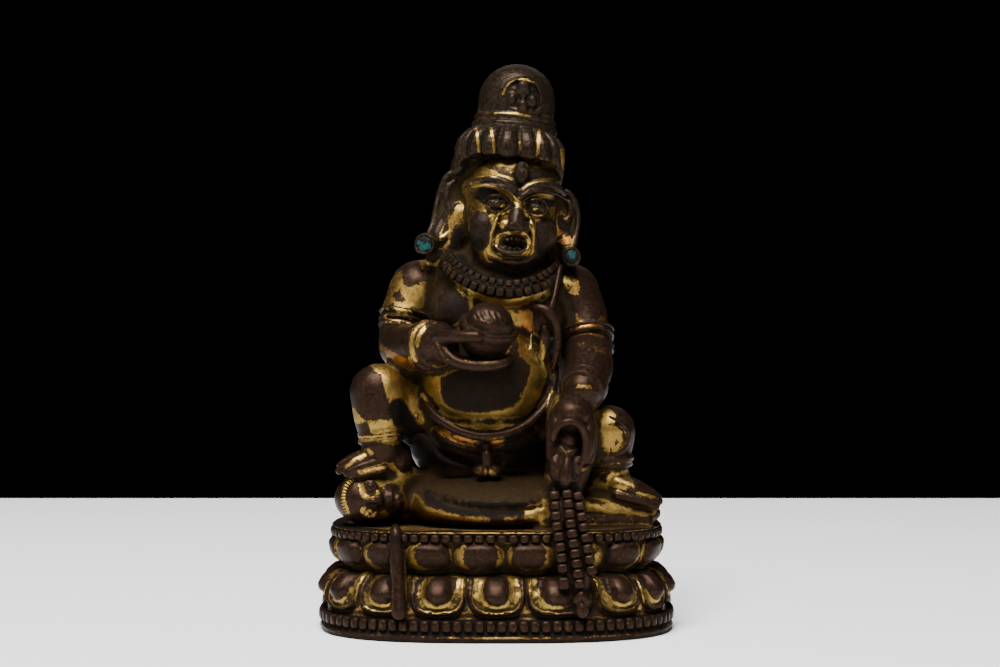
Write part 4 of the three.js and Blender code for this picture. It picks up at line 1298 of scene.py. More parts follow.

# What is left of the gilding on the front, with its dirt and painted shade, in the order that it is brushed
# on: the finish, the radius of the brush, the depth that it stops at (y, so that it reaches only what stands
# nearer) and its route in the view.
HEAD_BRUSHES = [
    ("worn", 3.4, 9, [(-8.2, 34.7), (-7.8, 38.5), (-4, 40.4), (3.6, 40.9), (10.2, 39.9), (13, 36.2)]),
    ("worn", 7, 30, [(3.1, 52), (3.1, 48)]),
    ("gold", 0.2, 9, [(0.6, 49.4), (1.2, 50.8), (2.4, 52), (4.1, 52.5), (5.7, 52.3), (6.9, 51.8)]),
    ("half", 0.32, 9, [(-4.4, 45.5), (-1, 45.4)]),
    ("gold", 0.22, 9, [(-1, 45.5), (2.6, 45.4), (6.2, 44.8)]),
    ("gold", 0.3, 9, [(-4.9, 42.1), (-4.5, 39.5), (-4.3, 37.6)]),
    ("gold", 0.3, 9, [(-1.9, 42.3), (-1.3, 39.5), (-1.2, 37.4)]),
    ("gold", 0.34, 9, [(8.1, 41.8), (7.9, 39.5), (7.7, 37)]),
    ("half", 0.34, 9, [(4.1, 39.4), (4.3, 36.4)]),
    ("half", 0.34, 9, [(-8.2, 40), (-8.4, 36.5)]),
    ("gold", 0.7, 9, [(13, 37.6), (13.4, 33.8), (13.3, 30.5)]),
    ("worn", 6, 9, [(0, 30), (6, 30), (3, 20)]),
    ("half", 2, 9, [(-4.5, 34.5), (2, 35), (9.5, 34.5)]),
    ("worn", 1.5, 9, [(-5.4, 31.6), (-1.6, 31.4), (2, 30.4), (4.6, 32.4), (10, 33)]),
    ("half", 1.6, 9, [(-5.4, 33), (-6, 27), (-6, 21), (-3.4, 15)]),
    ("gold", 0.7, 9, [(-1.6, 35.4), (0.8, 35.2), (3, 35)]),
    ("gold", 0.66, 9, [(-6.1, 33.3), (-4, 33.7), (-1.1, 32.8)]),
    ("gold", 0.66, 9, [(5, 35.1), (7.8, 34.8), (10.8, 34.5)]),
    ("dull", 1.1, 9, [(4.3, 35.2), (4.2, 32.2)]),
    ("gold", 0.33, 9, [(-6.1, 30), (-4, 30.5), (-2.1, 30.4), (0.3, 29.5)]),
    ("gold", 0.28, 9, [(-4.9, 32.4), (-1.1, 32.8), (2.6, 31.8)]),
    ("gold", 0.33, 9, [(4.8, 29.8), (6.9, 31.3), (10.8, 31.8)]),
    ("gold", 0.75, 9, [(-6.1, 27.4), (-4, 26.1), (-3.2, 25), (-1.8, 23.9), (-0.8, 23.2)]),
    ("gold", 0.85, 9, [(-0.8, 23.2), (-0.9, 21.3), (-1.8, 19.8), (-2.2, 18.2), (-2.3, 16.5), (-0.2, 15.6)]),
    ("gold", 0.6, 9, [(0.3, 29.4), (2.6, 27.9), (4, 26.3), (3.1, 25.3), (0.8, 24.6), (-1.1, 24.7)]),
    ("gold", 0.95, 9, [(0.8, 23.6), (-0.2, 22)]),
    ("gold", 0.45, 9, [(4, 26.3), (5.7, 27.5), (7.8, 28.4), (10.8, 28.1)]),
    ("gold", 0.6, 9, [(4.5, 25.3), (6.7, 23.9), (9.5, 24), (10.9, 25.5)]),
    ("gold", 0.75, 9, [(6.7, 22.7), (7.1, 20.6), (6.4, 17.2), (4.5, 15.6), (1.7, 15.4)]),
    ("dull", 1.8, 9, [(-4, 23.4), (-4, 19.1)]),
    ("dull", 1.6, 9, [(9, 22), (8.6, 17.7)]),
    ("worn", 1.6, 9, [(3.4, 24.3), (3.1, 22.2)]),
    ("soot_and_shade", 1.5, 9, [(-1.6, 26.9), (0.6, 26.7)]),
    ("soot_and_shade", 1.35, 9, [(6.4, 26.1), (8.4, 26)]),
    ("worn", 1, 9, [(-1.4, 27.2), (0.3, 27)]),
    ("worn", 0.95, 9, [(6.8, 26.2), (8.2, 26.2)]),
    ("half", 0.28, 9, [(-2.9, 27.6), (-1.7, 28.5), (-0.5, 28.6), (0.8, 28.1), (1.7, 27.2)]),
    ("half", 0.34, 9, [(-2.9, 26.4), (-1.6, 25.5), (-0.4, 25.2), (0.9, 25.6), (1.8, 26.4)]),
    ("half", 0.26, 9, [(5.3, 27.2), (6.2, 27.9), (7.5, 28), (8.7, 27.5), (9.5, 26.8)]),
    ("half", 0.32, 9, [(5.2, 26.2), (6.1, 25.2), (7.3, 24.9), (8.6, 25.1), (9.5, 26)]),
    ("gold", 0.22, 9, [(0.2, 26.2), (0.9, 26.5)]),
    ("gold", 0.2, 9, [(7, 25.6), (7.6, 25.7)]),
    ("gold", 0.2, 9, [(6, 24.2), (8.4, 24.3)]),
    ("gold", 0.36, 9, [(-0.8, 18.2), (-0.2, 20), (2.2, 20.7), (4.9, 20.5), (6, 18.8), (5.7, 16.8)]),
    ("worn", 2.2, 9, [(-0.2, 13), (3.1, 13.2), (6.9, 13.9)]),
    # Painted shadow under the chin and jaw: the sooty finish, then the dark one below it.
    ("soot_and_shade", 2.6, 12, [(-8.3, 19), (-7.3, 15), (-2.6, 10.8), (3.6, 10.2), (9.3, 12.8), (11.6, 15.6)]),
    ("dark", 1.6, 9, [(-10.6, 16), (-8.6, 12.4), (-4, 9.4), (3, 8.4), (8.5, 10.2), (11.2, 13)]),
    ("worn", 2.2, 12, [(-9.9, 31.9), (-11.4, 28.1), (-12.6, 23.4), (-12.4, 20.5)]),
    ("worn", 1.9, 12, [(15, 29.4), (15.6, 25.3), (14.6, 21.4)]),
    ("gold", 0.45, 9, [(-8.7, 30.2), (-8.6, 28.1)]),
    ("gold", 0.95, 9, [(-8.5, 25.8), (-9.6, 23.4), (-11.2, 21), (-11.5, 19.1)]),
    ("worn", 1.5, 9, [(13.8, 28.6), (15.2, 25.3), (14.2, 22.4)]),
    ("thin", 0.52, 9, [(13.8, 25.8), (13.9, 23.4)]),
    ("thin", 0.85, 9, [(12.4, 20.6), (12.8, 19.1), (14.6, 19.4)]),
]
CHEST_BRUSHES = [
    ("worn", 3.6, 9, [(16.4, 7.3), (18.2, 4.5)]),
    ("worn", 3.2, 9, [(15.9, -4.5), (21.6, -4.5)]),
    ("worn", 2.6, -8, [(17.6, -7.6), (20, -11)]),
    ("gold", 1.13, 9, [(-18.2, 16.1), (-16.3, 14.4), (-11.3, 13.7)]),
    ("worn", 1.7, 9, [(-18.4, 13.2), (-18.2, 11.6)]),
    ("gold", 3.2, 9, [(-21, 11.5), (-18.2, 9.3), (-17.7, 6.9), (-21.4, 5.4)]),
    ("worn", 1.7, 9, [(-18.4, 13.2), (-18.2, 11.6)]),
    ("worn", 0.85, 9, [(-21.2, 8), (-20.5, 7.1)]),
    # Painted shade in the armpit.
    ("shaded_gilding", 1.6, 9, [(-14.1, 12), (-14.4, 3.1)]),
    ("thin", 0.5, 9, [(-12.2, 11.8), (-12.9, 8.3)]),
    ("dark", 2.9, 9, [(-9.2, 8.3), (-9.2, 5.4)]),
    ("gold", 0.9, 9, [
        (-11.3, 13.7), (-9.4, 10.9), (-6.6, 8.5), (-3, 6.8), (1.7, 6.1), (6.9, 7.1), (9.5, 8.3),
    ]),
    ("gold", 0.71, 9, [(-23.4, 2.7), (-21, 3.2), (-18.4, 3)]),
    ("worn", 2.6, 9, [(-22.4, -0.4), (-18.6, -0.6)]),
    ("gold", 1.04, 9, [(-15.8, 1.9), (-17.6, -0.7), (-17.9, -5.2)]),
    ("worn", 0.85, 9, [(-14.4, 1.6), (-14.8, -5)]),
    ("gold", 0.57, 9, [(-12.7, 0), (-12.4, -2.6), (-10.8, -5.2)]),
    ("thin", 1.42, 9, [(4.8, 5.2), (5.5, 2.6), (5.2, -5)]),
    ("worn", 1.5, -5, [(8.3, 5), (11.2, 2.6), (11.6, -5)]),
    ("gold", 0.47, -5, [(9.3, 1), (9.3, 0.9)]),
    ("worn", 0.6, -3, [(12.2, 13), (11.2, 8.3), (10.2, 5.4)]),
    ("gold", 0.95, 9, [(13.8, 11.1), (15.4, 10.6), (15.5, 8.7)]),
    ("half", 1.5, 9, [(15.4, 3), (20.8, 0.4)]),
    ("half", 0.8, 9, [(16.6, -2.2), (22.8, -4)]),
    ("thin", 0.7, 9, [(14.9, 1.2), (18.7, 1.4), (21.1, 3.1)]),
    ("gold", 0.4, -8, [(15.9, -10.8), (18.6, -11)]),
]
BELLY_BRUSHES = [
    ("gold", 2.1, 0, [
        (-14.4, -9.8), (-13.4, -14.6), (-10.6, -17.2), (-6.8, -18), (-2.1, -18.1), (2.2, -16.9),
    ]),
    ("gold", 2.1, 0, [(2.2, -16.9), (5.5, -14.1), (7.6, -10.3), (8.3, -6.5), (7.1, -2.3)]),
    ("dark", 3.7, 0, [(-8.2, -12.2), (-4, -12.5), (0.8, -11.8)]),
    ("dark", 1.6, 0, [(-7.8, -9.4), (-2.1, -8.4), (4.1, -6.5)]),
    ("worn", 0.8, -2, [
        (-15.6, -14.6), (-11.5, -18.8), (-5.9, -20.5), (-0.7, -20.7), (3.6, -19.3), (6.9, -16.9),
    ]),
    ("worn", 0.8, -2, [(6.9, -16.9), (9, -13.2), (10.4, -9)]),
    ("thin", 0.95, 0, [(-12.5, -20), (-8.7, -21.7), (-4.4, -22.1), (0.3, -22.1), (2.6, -21)]),
    # Painted shade in the gaps of the lap; the second stroke reaches through to what lies behind.
    ("soot_and_shade", 2.8, 2, [(3.6, -23.1), (8.3, -25.9), (3.6, -27.8)]),
    ("soot_and_shade", 2.8, 25, [(-17, -21.6), (-14.4, -23.6), (-10.6, -26.4), (-7.6, -27.4)]),
    ("worn", 0.95, -10, [(-4, -22.6), (-3.7, -26.4)]),
    ("gold", 1.2, -8, [(-5.2, -28.8), (-1.8, -29.1)]),
    ("worn", 2.2, -15.5, [(-11.6, 0.2), (-9, -3), (-4.4, -0.2)]),
    ("worn", 3.9, -14, [(-4.6, 4.6), (0.8, 1.6)]),
    ("worn", 1.2, -17, [(-9.4, -4.4), (-6.2, -7), (-2.1, -7.4), (2.1, -5.4)]),
    ("gold", 0.2, -17, [(-7, -5.6), (-3.6, -5.9), (0.4, -5.6)]),
    ("worn", 1.4, -22, [(-8.6, 2.4), (-3, 2.4)]),
]
LEG_BRUSHES = [
    ("thin", 0.66, 9, [(-24.5, -2.8), (-21.7, -4.6), (-18.2, -6.5)]),
    ("gold", 1.6, 9, [(-26, -6.3), (-23.4, -7.7), (-22.4, -10.8), (-21.7, -13.6)]),
    ("gold", 2.13, 9, [(-21.5, -7.5), (-18.9, -10.3), (-18.6, -13.6)]),
    ("gold", 1.9, 9, [(-29.5, -16.7), (-26.7, -17.6), (-25.2, -19.5), (-21, -19.1)]),
    ("worn", 3.1, 9, [(-28.6, -9.4), (-27.9, -12.7), (-26.4, -14.8)]),
    ("worn", 1, 9, [(-25.4, -16), (-24, -16.7)]),
    ("worn", 1.1, 9, [(-28, -19.5), (-27.9, -19.8)]),
    ("gold", 0.76, 9, [(-29, -21.7), (-21.5, -22.1)]),
    ("soot_and_shade", 2.1, 9, [(-21, -15.5), (-18.6, -20.2), (-16.3, -23.6)]),
    ("gold", 2, 9, [(22, -17.2), (20.8, -20.7)]),
    ("gold", 1.23, 9, [(24.4, -20.2), (22, -22.1), (19.7, -22.6)]),
    ("worn", 1.42, 9, [(26, -16.9), (27.1, -20.7), (26.8, -24.5)]),
    ("gold", 0.4, 9, [(24.9, -20.2), (24.6, -22.8), (23.2, -24)]),
    ("half", 0.9, 9, [(19.7, -27.3), (26.3, -26.4)]),
    ("gold", 1.6, 9, [(23.7, -30.2), (26.5, -31.6)]),
    ("worn", 1.2, 9, [(26.8, -33), (30.1, -34.4), (32.7, -35.5)]),
    ("gold", 0.71, 9, [(25.3, -36.2), (31.5, -36.7)]),
    ("gold", 0.38, 9, [(28.6, -32.9), (32, -33.6)]),
    ("gold", 0.5, 9, [(-32.1, -27.8), (-30, -25.9), (-26.9, -24.4)]),
    ("worn", 0.66, 9, [(-30.9, -28.3), (-27.1, -26), (-24.8, -25.4)]),
    ("gold", 0.71, 9, [(-28.6, -28.5), (-22.4, -27.1)]),
    ("worn", 3.4, -14, [(15.4, -15.4), (17.6, -19)]),
    ("worn", 1.5, -14, [(18.4, -21.4), (18, -26)]),
    ("worn", 1.3, -14, [(11.2, -18.6), (10.2, -22.4), (9.8, -27)]),
    ("worn", 3.4, -16, [(13.4, -21.5), (13.2, -29.5)]),
    ("gold", 0.22, -16, [(12.4, -23.4), (13.4, -24.4), (14.8, -24.1)]),
]
PRONE_BRUSHES = [
    # Painted shade over the top of the prone figure's body, beneath the seated figure.
    ("shaded_gilding", 3.2, 5, [(-17.2, -32), (-12.5, -31), (-4, -32), (8.3, -32)]),
    ("gold", 1.6, 5, [(-18.4, -34.6), (-14.8, -37.1), (-4, -38.2), (5.5, -37.8), (9.5, -35.9)]),
    ("thin", 0.8, 5, [(-17.4, -37.4), (-12.4, -39), (-3, -39.6), (6, -39)]),
    ("soot_and_shade", 1.1, 5, [(-14.6, -33.2), (-10.6, -35.4), (-4, -36.5), (4.2, -36.4)]),
    ("half", 1.23, 5, [(18.7, -38), (31.5, -38.9)]),
    ("worn", 3.2, 5, [(-33, -30.6), (-33.5, -35.4)]),
    ("worn", 1.7, 5, [(-29.6, -31), (-29.8, -35.6)]),
    ("gold", 0.34, 5, [(-30.6, -29.5), (-32, -31.2), (-32.1, -34.6), (-31, -37)]),
    ("gold", 0.55, 5, [(-27.2, -29.6), (-28.4, -31.2), (-27.9, -33.4), (-26.2, -34), (-24.8, -32.6)]),
    ("gold", 0.8, 5, [(-28, -36.4), (-26, -37.4), (-23.6, -37.2)]),
    ("worn", 0.75, 5, [(-26.2, -31.2), (-26, -31.8)]),
    ("worn", 1, 5, [(-23.6, -33.6), (-22.8, -35.4)]),
    ("thin", 0.76, 5, [(-19.3, -33.5), (-19.3, -38.2)]),
]
BASE_BRUSHES = [
    # Painted shade behind the bead strings: the sooty finish first, then the nearer surfaces worn bare again.
    ("soot_and_shade", 3.4, -17.5, [(13, -33), (14, -41.5), (15.4, -52.4), (16.6, -55)]),
    ("worn", 3.2, -22.6, [(12.6, -30.5), (14, -41.5), (15.4, -52.4), (16.6, -56)]),
    ("worn", 1.3, -18.2, [(-22.5, -37.2), (-21.2, -41), (-20.9, -48.6), (-20.6, -56.6)]),
]


def brush(view, facing, depth, values, strokes):
    """Lays the strokes over the leaf, thin and soot-with-painted-shade values of what faces the front."""
    for finish, radius, nearest, route in strokes:
        path = smooth_path([(u, v, 0) for u, v in route], radius / 3)[:, :2]
        low, high = path.min(0) - radius * 1.3, path.max(0) + radius * 1.3
        chosen = np.flatnonzero(((view > low) & (view < high)).all(1) & (depth < nearest) & (facing > 0))
        if not len(chosen):
            continue
        gap = np.sqrt(((view[chosen][:, None, :] - path[None, :, :]) ** 2).sum(2).min(1))
        amount = (1 - step_up(gap, radius * 0.75, radius * 1.3)) * np.clip(facing[chosen] * 10, 0, 1)
        values[chosen] += amount[:, None] * (np.array(FINISHES[finish]) - values[chosen])


def base_leaf(places):
    """Gilding on the base: kept in the sunk bands and between petals, gone from rims, bosses and pillows."""
    x, y, z = places.T
    lengths, points, _ = plan_outline()
    total = lengths[-1]
    order = np.unwrap(np.arctan2(points[:, 1] / BASE_HALF_DEPTH, points[:, 0] / BASE_HALF_WIDTH))
    angle = np.arctan2(y / BASE_HALF_DEPTH, x / BASE_HALF_WIDTH)
    length = np.interp(order[0] + (angle - order[0]) % (2 * math.pi), order, lengths)
    inside, out = lower_petal_places(drifted(length, total), z, total)
    trough = step_up(inside, 0.5, 0.8) * step_up(out, 0.98, 1.1) * (1 - step_up(z, 12.4, PETALS_MEET))
    sepal = step_up(-inside, 0.1, 0.4) * step_up(z, 5, 5.6) * (1 - step_up(z, 7, 7.8))
    flank, worn = upper_petal_places(length, z, total)
    flanks = 0.85 * step_up(worn, 0.55, 0.8) * step_up(flank, 0.5, 0.78)
    upper = 0.08 + flanks + 0.36 * step_up(14.9 - z, 0, 1.2)
    leaf = np.where(z < PETALS_MEET, np.maximum(trough, sepal * 0.9), upper)
    foot = -0.05 + 0.6 * step_up(z, 4.3, 4.6) + 1.1 * swell(z, 1.08, 0.2)
    leaf = np.where(z < 4.9, foot, leaf)
    leaf = np.where(z > PLATE_EDGE, 0.05 + step_up(z, 20.4, 20.6), leaf)
    edge = (abs(x) / BASE_HALF_WIDTH) ** PLAN_POWER + (abs(y) / BASE_HALF_DEPTH) ** PLAN_POWER
    belongs = (z < 21.2) & (edge > 0.6)
    plate = (z > 20.95) & (edge < 0.84) & belongs
    return leaf, belongs, plate


def combing(places):
    """Where the hair is combed, and the phase of its fine lines, 1 for each line."""
    local = (places - np.array(HEAD.translation)) @ np.array(HEAD.to_3x3())
    x, y, z = local.T
    cx, cy = HAIR_CENTRE
    turn = np.arctan2(y - cy, x - cx) + math.pi / 2 - LOCK_START
    out = np.hypot((x - cx) / HAIR_HALF_SIZES[0], (y - cy) / HAIR_HALF_SIZES[1])
    locks = step_up(z, 8.6, 9.4) * (1 - step_up(z, 16.2, 16.8)) * step_up(out, 0.72, 0.8)
    locks = locks * (places[:, 2] > HAIR_NAPE_Z)
    top_x, _ = TOPKNOT_AXIS
    ring = np.hypot(x - top_x - 0.3, (z - 21.4) / 1.02)
    knot = step_up(z, 19.8, 20.3) * step_up(ring, 4.9, 5.3)
    phase = np.where(z > 17.5, ring / 0.55, turn * HAIR_LOCKS * COMB_LINES / (2 * math.pi))
    return phase, np.maximum(locks, knot)


def finish_values(mesh):
    """Puts on the mesh what its finish follows: small heights, shelter, gilding, thin gilding, and soot with
    painted shade.
    """
    places, normals, edges = places_of(mesh), normals_of(mesh), edges_of(mesh)
    z = places[:, 2]
    heights = []
    smooth = places
    for rounds in (3, 12, 70):
        smooth = evened(smooth, edges, rounds)
        heights.append(((places - smooth) * normals).sum(1))
    fine, middle, broad = heights
    closed = evened(shelter(mesh), edges, 1)
    leaf = 0.52 - 1.6 * np.clip(broad, -0.15, 0.4) - 2.4 * np.clip(middle, -0.08, 0.15)
    leaf = np.where(z > HAIR_HEM_Z, leaf - 0.25, leaf)
    values = np.column_stack([leaf] + [np.zeros_like(leaf)] * 3)
    on_base, belongs, plate = base_leaf(places)
    values[belongs, 0] = on_base[belongs]
    values[belongs, 3] = 0.35 * step_up(on_base[belongs], 0.4, 0.7)
    # The plate's top inside its edge, beneath the figures, gets soot with painted shade.
    values[plate] = FINISHES["soot_and_shade"]
    view, facing, depth = front_view(places), -normals[:, 1], places[:, 1]
    for strokes in (HEAD_BRUSHES, CHEST_BRUSHES, BELLY_BRUSHES, LEG_BRUSHES, PRONE_BRUSHES, BASE_BRUSHES):
        brush(view, facing, depth, values, strokes)
    # Soot with painted shade in the bands between the beads, painted shade on the undercut foot, and a little
    # darkening on the upper petals.
    bead_rows = (z > 1.25) & (z < 4.5) | (z > PLATE_EDGE) & (z < 20.5)
    upper_row = (z > PETALS_MEET) & (z < PLATE_EDGE)
    for where, soot_and_shade in ((bead_rows, 0.95), (z <= 0.85, 0.6), (upper_row, 0.3)):
        values[where & belongs, 2] = soot_and_shade
    phase, share = combing(places)
    leaf, thin, soot_and_shade, spared_darkening = values.T
    followed = {
        "comb_phase": phase, "comb_share": share, "fine_height": fine, "middle_height": middle,
        "shelter": closed * (1 - spared_darkening), "leaf": leaf, "thin_leaf": thin, "soot_and_shade": soot_and_shade,
    }
    for name, value in followed.items():
        put_value(mesh, name, value)


def beadwork_values(mesh):
    """The finish of the beads: gilding by row, dirt and painted shade on their flanks and between them, and
    more painted shade on those above 60 mm, the necklace under the chin and the teeth in the mouth.
    """
    flank, gilt = (rows_of(mesh.attributes[name].data, "value") for name in ("flank", "gilt"))
    nothing = np.zeros_like(flank)
    for name in ("fine_height", "middle_height", "thin_leaf", "soot_and_shade", "comb_phase", "comb_share"):
        put_value(mesh, name, nothing)
    around_neck = places_of(mesh)[:, 2] > 60
    put_value(mesh, "shelter", 0.14 + 1.05 * step_up(flank, 0.3, 0.9) + 0.3 * around_neck)
    put_value(mesh, "leaf", gilt)


# Materials


class Wiring:
    """Makes nodes in a tree. A value given for an input is linked if it is a socket, or else set."""

    def __init__(self, tree):
        self.tree = tree

    def give(self, node, values):
        """Sets or links inputs of a node. A colour is three numbers, and its fourth is added."""
        for name, value in values.items():
            if isinstance(value, bpy.types.NodeSocket):
                self.tree.links.new(value, node.inputs[name])
            else:
                node.inputs[name].default_value = (*value, 1) if isinstance(value, tuple) else value

    def node(self, kind, inputs=None, **settings):
        made = self.tree.nodes.new(kind)
        for name, value in settings.items():
            setattr(made, name, value)
        self.give(made, inputs or {})
        return made

    def math(self, operation, *values, clamp=False):
        inputs = dict(enumerate(values))
        return self.node("ShaderNodeMath", inputs, operation=operation, use_clamp=clamp).outputs[0]

    def total(self, *terms):
        """The sum of values, each with its share."""
        (first, share), *rest = terms
        reached = self.math("MULTIPLY", first, share)
        for value, share in rest:
            reached = self.math("MULTIPLY_ADD", value, share, reached)
        return reached

    def ramp(self, value, low, high, to_low=0.0, to_high=1.0):
        inputs = {"Value": value, "From Min": low, "From Max": high, "To Min": to_low, "To Max": to_high}
        return self.node("ShaderNodeMapRange", inputs, interpolation_type="SMOOTHSTEP").outputs[0]

    def noise(self, place, scale, detail=3.0, roughness=0.55, distortion=0.0):
        inputs = {"Vector": place, "Scale": scale, "Detail": detail, "Roughness": roughness}
        return self.node("ShaderNodeTexNoise", {**inputs, "Distortion": distortion}).outputs["Fac"]

    def blend(self, share, one, other):
        return self.node("ShaderNodeMix", {0: share, 6: one, 7: other}, data_type="RGBA").outputs[2]

    def attribute(self, name):
        return self.node("ShaderNodeAttribute", attribute_name=name).outputs["Fac"]

    def group(self, tree, inputs=None):
        """A node group placed here: its outputs."""
        made = self.node("ShaderNodeGroup", node_tree=tree)
        self.give(made, inputs or {})
        return made.outputs


def shader_group(name, inputs, outputs):
    """A new node group with its named sockets: its tree, its wiring, its inputs and its output node."""
    tree = bpy.data.node_groups.new(name, "ShaderNodeTree")
    for way, sockets in (("INPUT", inputs), ("OUTPUT", outputs)):
        for socket, kind in sockets:
            tree.interface.new_socket(socket, in_out=way, socket_type=f"NodeSocket{kind}")
    wiring = Wiring(tree)
    return tree, wiring, wiring.node("NodeGroupInput").outputs, wiring.node("NodeGroupOutput")


def place_in_millimetres():
    """The place on the object in millimetres."""
    tree, wiring, _, result = shader_group("place_in_millimetres", [], [("Place", "Vector")])
    place = wiring.node("ShaderNodeTexCoord").outputs["Object"]
    scaled = wiring.node("ShaderNodeVectorMath", {0: place, 3: 1 / MM}, operation="SCALE").outputs[0]
    wiring.give(result, {"Place": scaled})
    return tree


def worn_gilding():
    """Where the gilding is left: ragged edges, specks rubbed through it, flecks left on the bare metal."""
    inputs = [("Place", "Vector"), ("Leaf", "Float"), ("Fine Height", "Float"), ("Middle Height", "Float")]
    outputs = [("Gilding", "Float"), ("Thin Edge", "Float"), ("Dark Edge", "Float")]
    tree, wiring, given, result = shader_group("worn_gilding", inputs, outputs)
    place = given["Place"]
    ragged = wiring.noise(place, 0.55, 5, 0.62, 0.4)
    grainy = wiring.noise(place, 2.6, 4, 0.6)
    specks = wiring.noise(place, 6.5, 2, 0.5)
    ragged, grainy, specks = (wiring.math("SUBTRACT", value, 0.5) for value in (ragged, grainy, specks))
    reached = wiring.total(
        (given["Leaf"], 1.0), (ragged, 0.9), (grainy, 0.9), (specks, 0.85),
        (given["Fine Height"], -2.2), (given["Middle Height"], -0.5),
    )
    dark_edge = wiring.math("MULTIPLY", wiring.ramp(reached, 0.24, 0.38), wiring.ramp(reached, 0.60, 0.47))
    made = {"Gilding": wiring.ramp(reached, 0.40, 0.46), "Thin Edge": wiring.ramp(reached, 0.66, 0.42)}
    wiring.give(result, {**made, "Dark Edge": dark_edge})
    return tree


def gilt_colours():
    """Colour, metal share and roughness of gilding over brown copper alloy, with soot and painted shade in
    hollows.
    """
    inputs = [
        ("Place", "Vector"), ("Gilding", "Float"), ("Thin", "Float"), ("Soot And Shade", "Float"), ("Shelter", "Float"),
        ("Fine Height", "Float"), ("Middle Height", "Float"), ("Dark Edge", "Float"),
    ]
    outputs = [("Color", "Color"), ("Metal", "Float"), ("Roughness", "Float")]
    tree, wiring, given, result = shader_group("gilt_copper_colours", inputs, outputs)
    place = given["Place"]
    clouds = wiring.ramp(wiring.noise(place, 0.35, 4, 0.6), 0.35, 0.65)
    mottled = wiring.ramp(wiring.noise(place, 1.7, 5, 0.65), 0.35, 0.68)
    gold = wiring.blend(mottled, (0.222, 0.137, 0.031), (0.345, 0.232, 0.064))
    gold = wiring.blend(wiring.math("MULTIPLY", clouds, 0.5), gold, (0.205, 0.111, 0.023))
    gold = wiring.blend(wiring.math("MULTIPLY", given["Thin"], 0.75), gold, (0.21, 0.075, 0.015))
    brown = wiring.blend(mottled, (0.0138, 0.0069, 0.0042), (0.040, 0.0215, 0.0136))
    brown = wiring.blend(clouds, brown, (0.0235, 0.0108, 0.0063))
    olive = wiring.blend(mottled, (0.0125, 0.0083, 0.0050), (0.035, 0.0242, 0.0160))
    height = wiring.node("ShaderNodeSeparateXYZ", {0: place}).outputs["Z"]
    upper_figure = wiring.ramp(wiring.total((height, 1.0), (clouds, 8.0)), 74, 86, 0.15, 0.85)
    brown = wiring.blend(upper_figure, brown, olive)
    scuffs = wiring.ramp(wiring.noise(place, 3.2, 5, 0.72), 0.50, 0.64, 0.0, 0.6)
    brown = wiring.blend(scuffs, brown, (0.0085, 0.0056, 0.0024))
    metal_colour = wiring.blend(given["Gilding"], brown, gold)
    darkening_noise = wiring.noise(place, 1.3, 6, 0.7)
    # Darkening of sheltered and sunk places: partly grime in the hollows, partly painted shade.
    hollow = wiring.total(
        (given["Shelter"], 1.0), (darkening_noise, 0.7), (given["Fine Height"], -3.5),
        (given["Middle Height"], -1.2),
    )
    hollow = wiring.ramp(hollow, 0.53, 0.93)
    # Darkening where soot and painted shade are brushed on.
    brushed_soot_and_shade = wiring.ramp(wiring.total((given["Soot And Shade"], 1.0), (darkening_noise, 0.5)), 0.37, 1.05)
    dirt_and_shade = wiring.math("MAXIMUM", hollow, brushed_soot_and_shade, clamp=True)
    dirt_and_shade = wiring.math("MAXIMUM", dirt_and_shade, wiring.math("MULTIPLY", given["Dark Edge"], 0.7), clamp=True)
    # The near black that the darkening blends towards stands for soot, dirt and painted shade.
    colour = wiring.blend(wiring.math("MULTIPLY", dirt_and_shade, 0.95), metal_colour, (0.0045, 0.003, 0.0018))
    metal = wiring.ramp(given["Gilding"], 0, 1, 0.62, 1.0)
    metal = wiring.math("MULTIPLY", metal, wiring.ramp(dirt_and_shade, 0.2, 1, 1.0, 0.15))
    rough = wiring.total((mottled, 0.10), (given["Gilding"], 0.02), (clouds, 0.05), (dirt_and_shade, 0.35))
    wiring.give(result, {"Color": colour, "Metal": metal, "Roughness": wiring.math("ADD", rough, 0.325)})
    return tree


def cast_grain():
    """The fine unevenness of the cast and handled surface, as a height."""
    inputs = [
        ("Place", "Vector"), ("Gilding", "Float"), ("Soot And Shade", "Float"), ("Comb Phase", "Float"),
        ("Comb Share", "Float"),
    ]
    tree, wiring, given, result = shader_group("cast_grain", inputs, [("Height", "Float")])
    place = given["Place"]
    pits = wiring.ramp(wiring.noise(place, 4.2, 3, 0.6), 0.30, 0.44)
    strands = wiring.math("SINE", wiring.math("MULTIPLY", given["Comb Phase"], 2 * math.pi))
    combed = wiring.math("MULTIPLY", strands, given["Comb Share"])
    crust = wiring.math("MULTIPLY", given["Soot And Shade"], wiring.noise(place, 3))
    height = wiring.total(
        (combed, 0.3), (wiring.noise(place, 1.3, 4, 0.6), 0.6), (wiring.noise(place, 5.5, 3, 0.6), 0.22),
        (pits, 0.35), (given["Gilding"], 0.12), (crust, 0.15),
    )
    wiring.give(result, {"Height": height})
    return tree


def new_material(name):
    """A new material with its wiring and its shader."""
    material = bpy.data.materials.new(name)
    material.use_nodes = True
    return material, Wiring(material.node_tree), material.node_tree.nodes["Principled BSDF"]


def finish_shader(wiring, shader, sockets, height, strength, distance):
    """Links what groups put out to the shader, and a height through a bump."""
    bump = wiring.node("ShaderNodeBump", {"Strength": strength, "Distance": distance, "Height": height})
    wiring.give(shader, {**sockets, "Normal": bump.outputs["Normal"]})


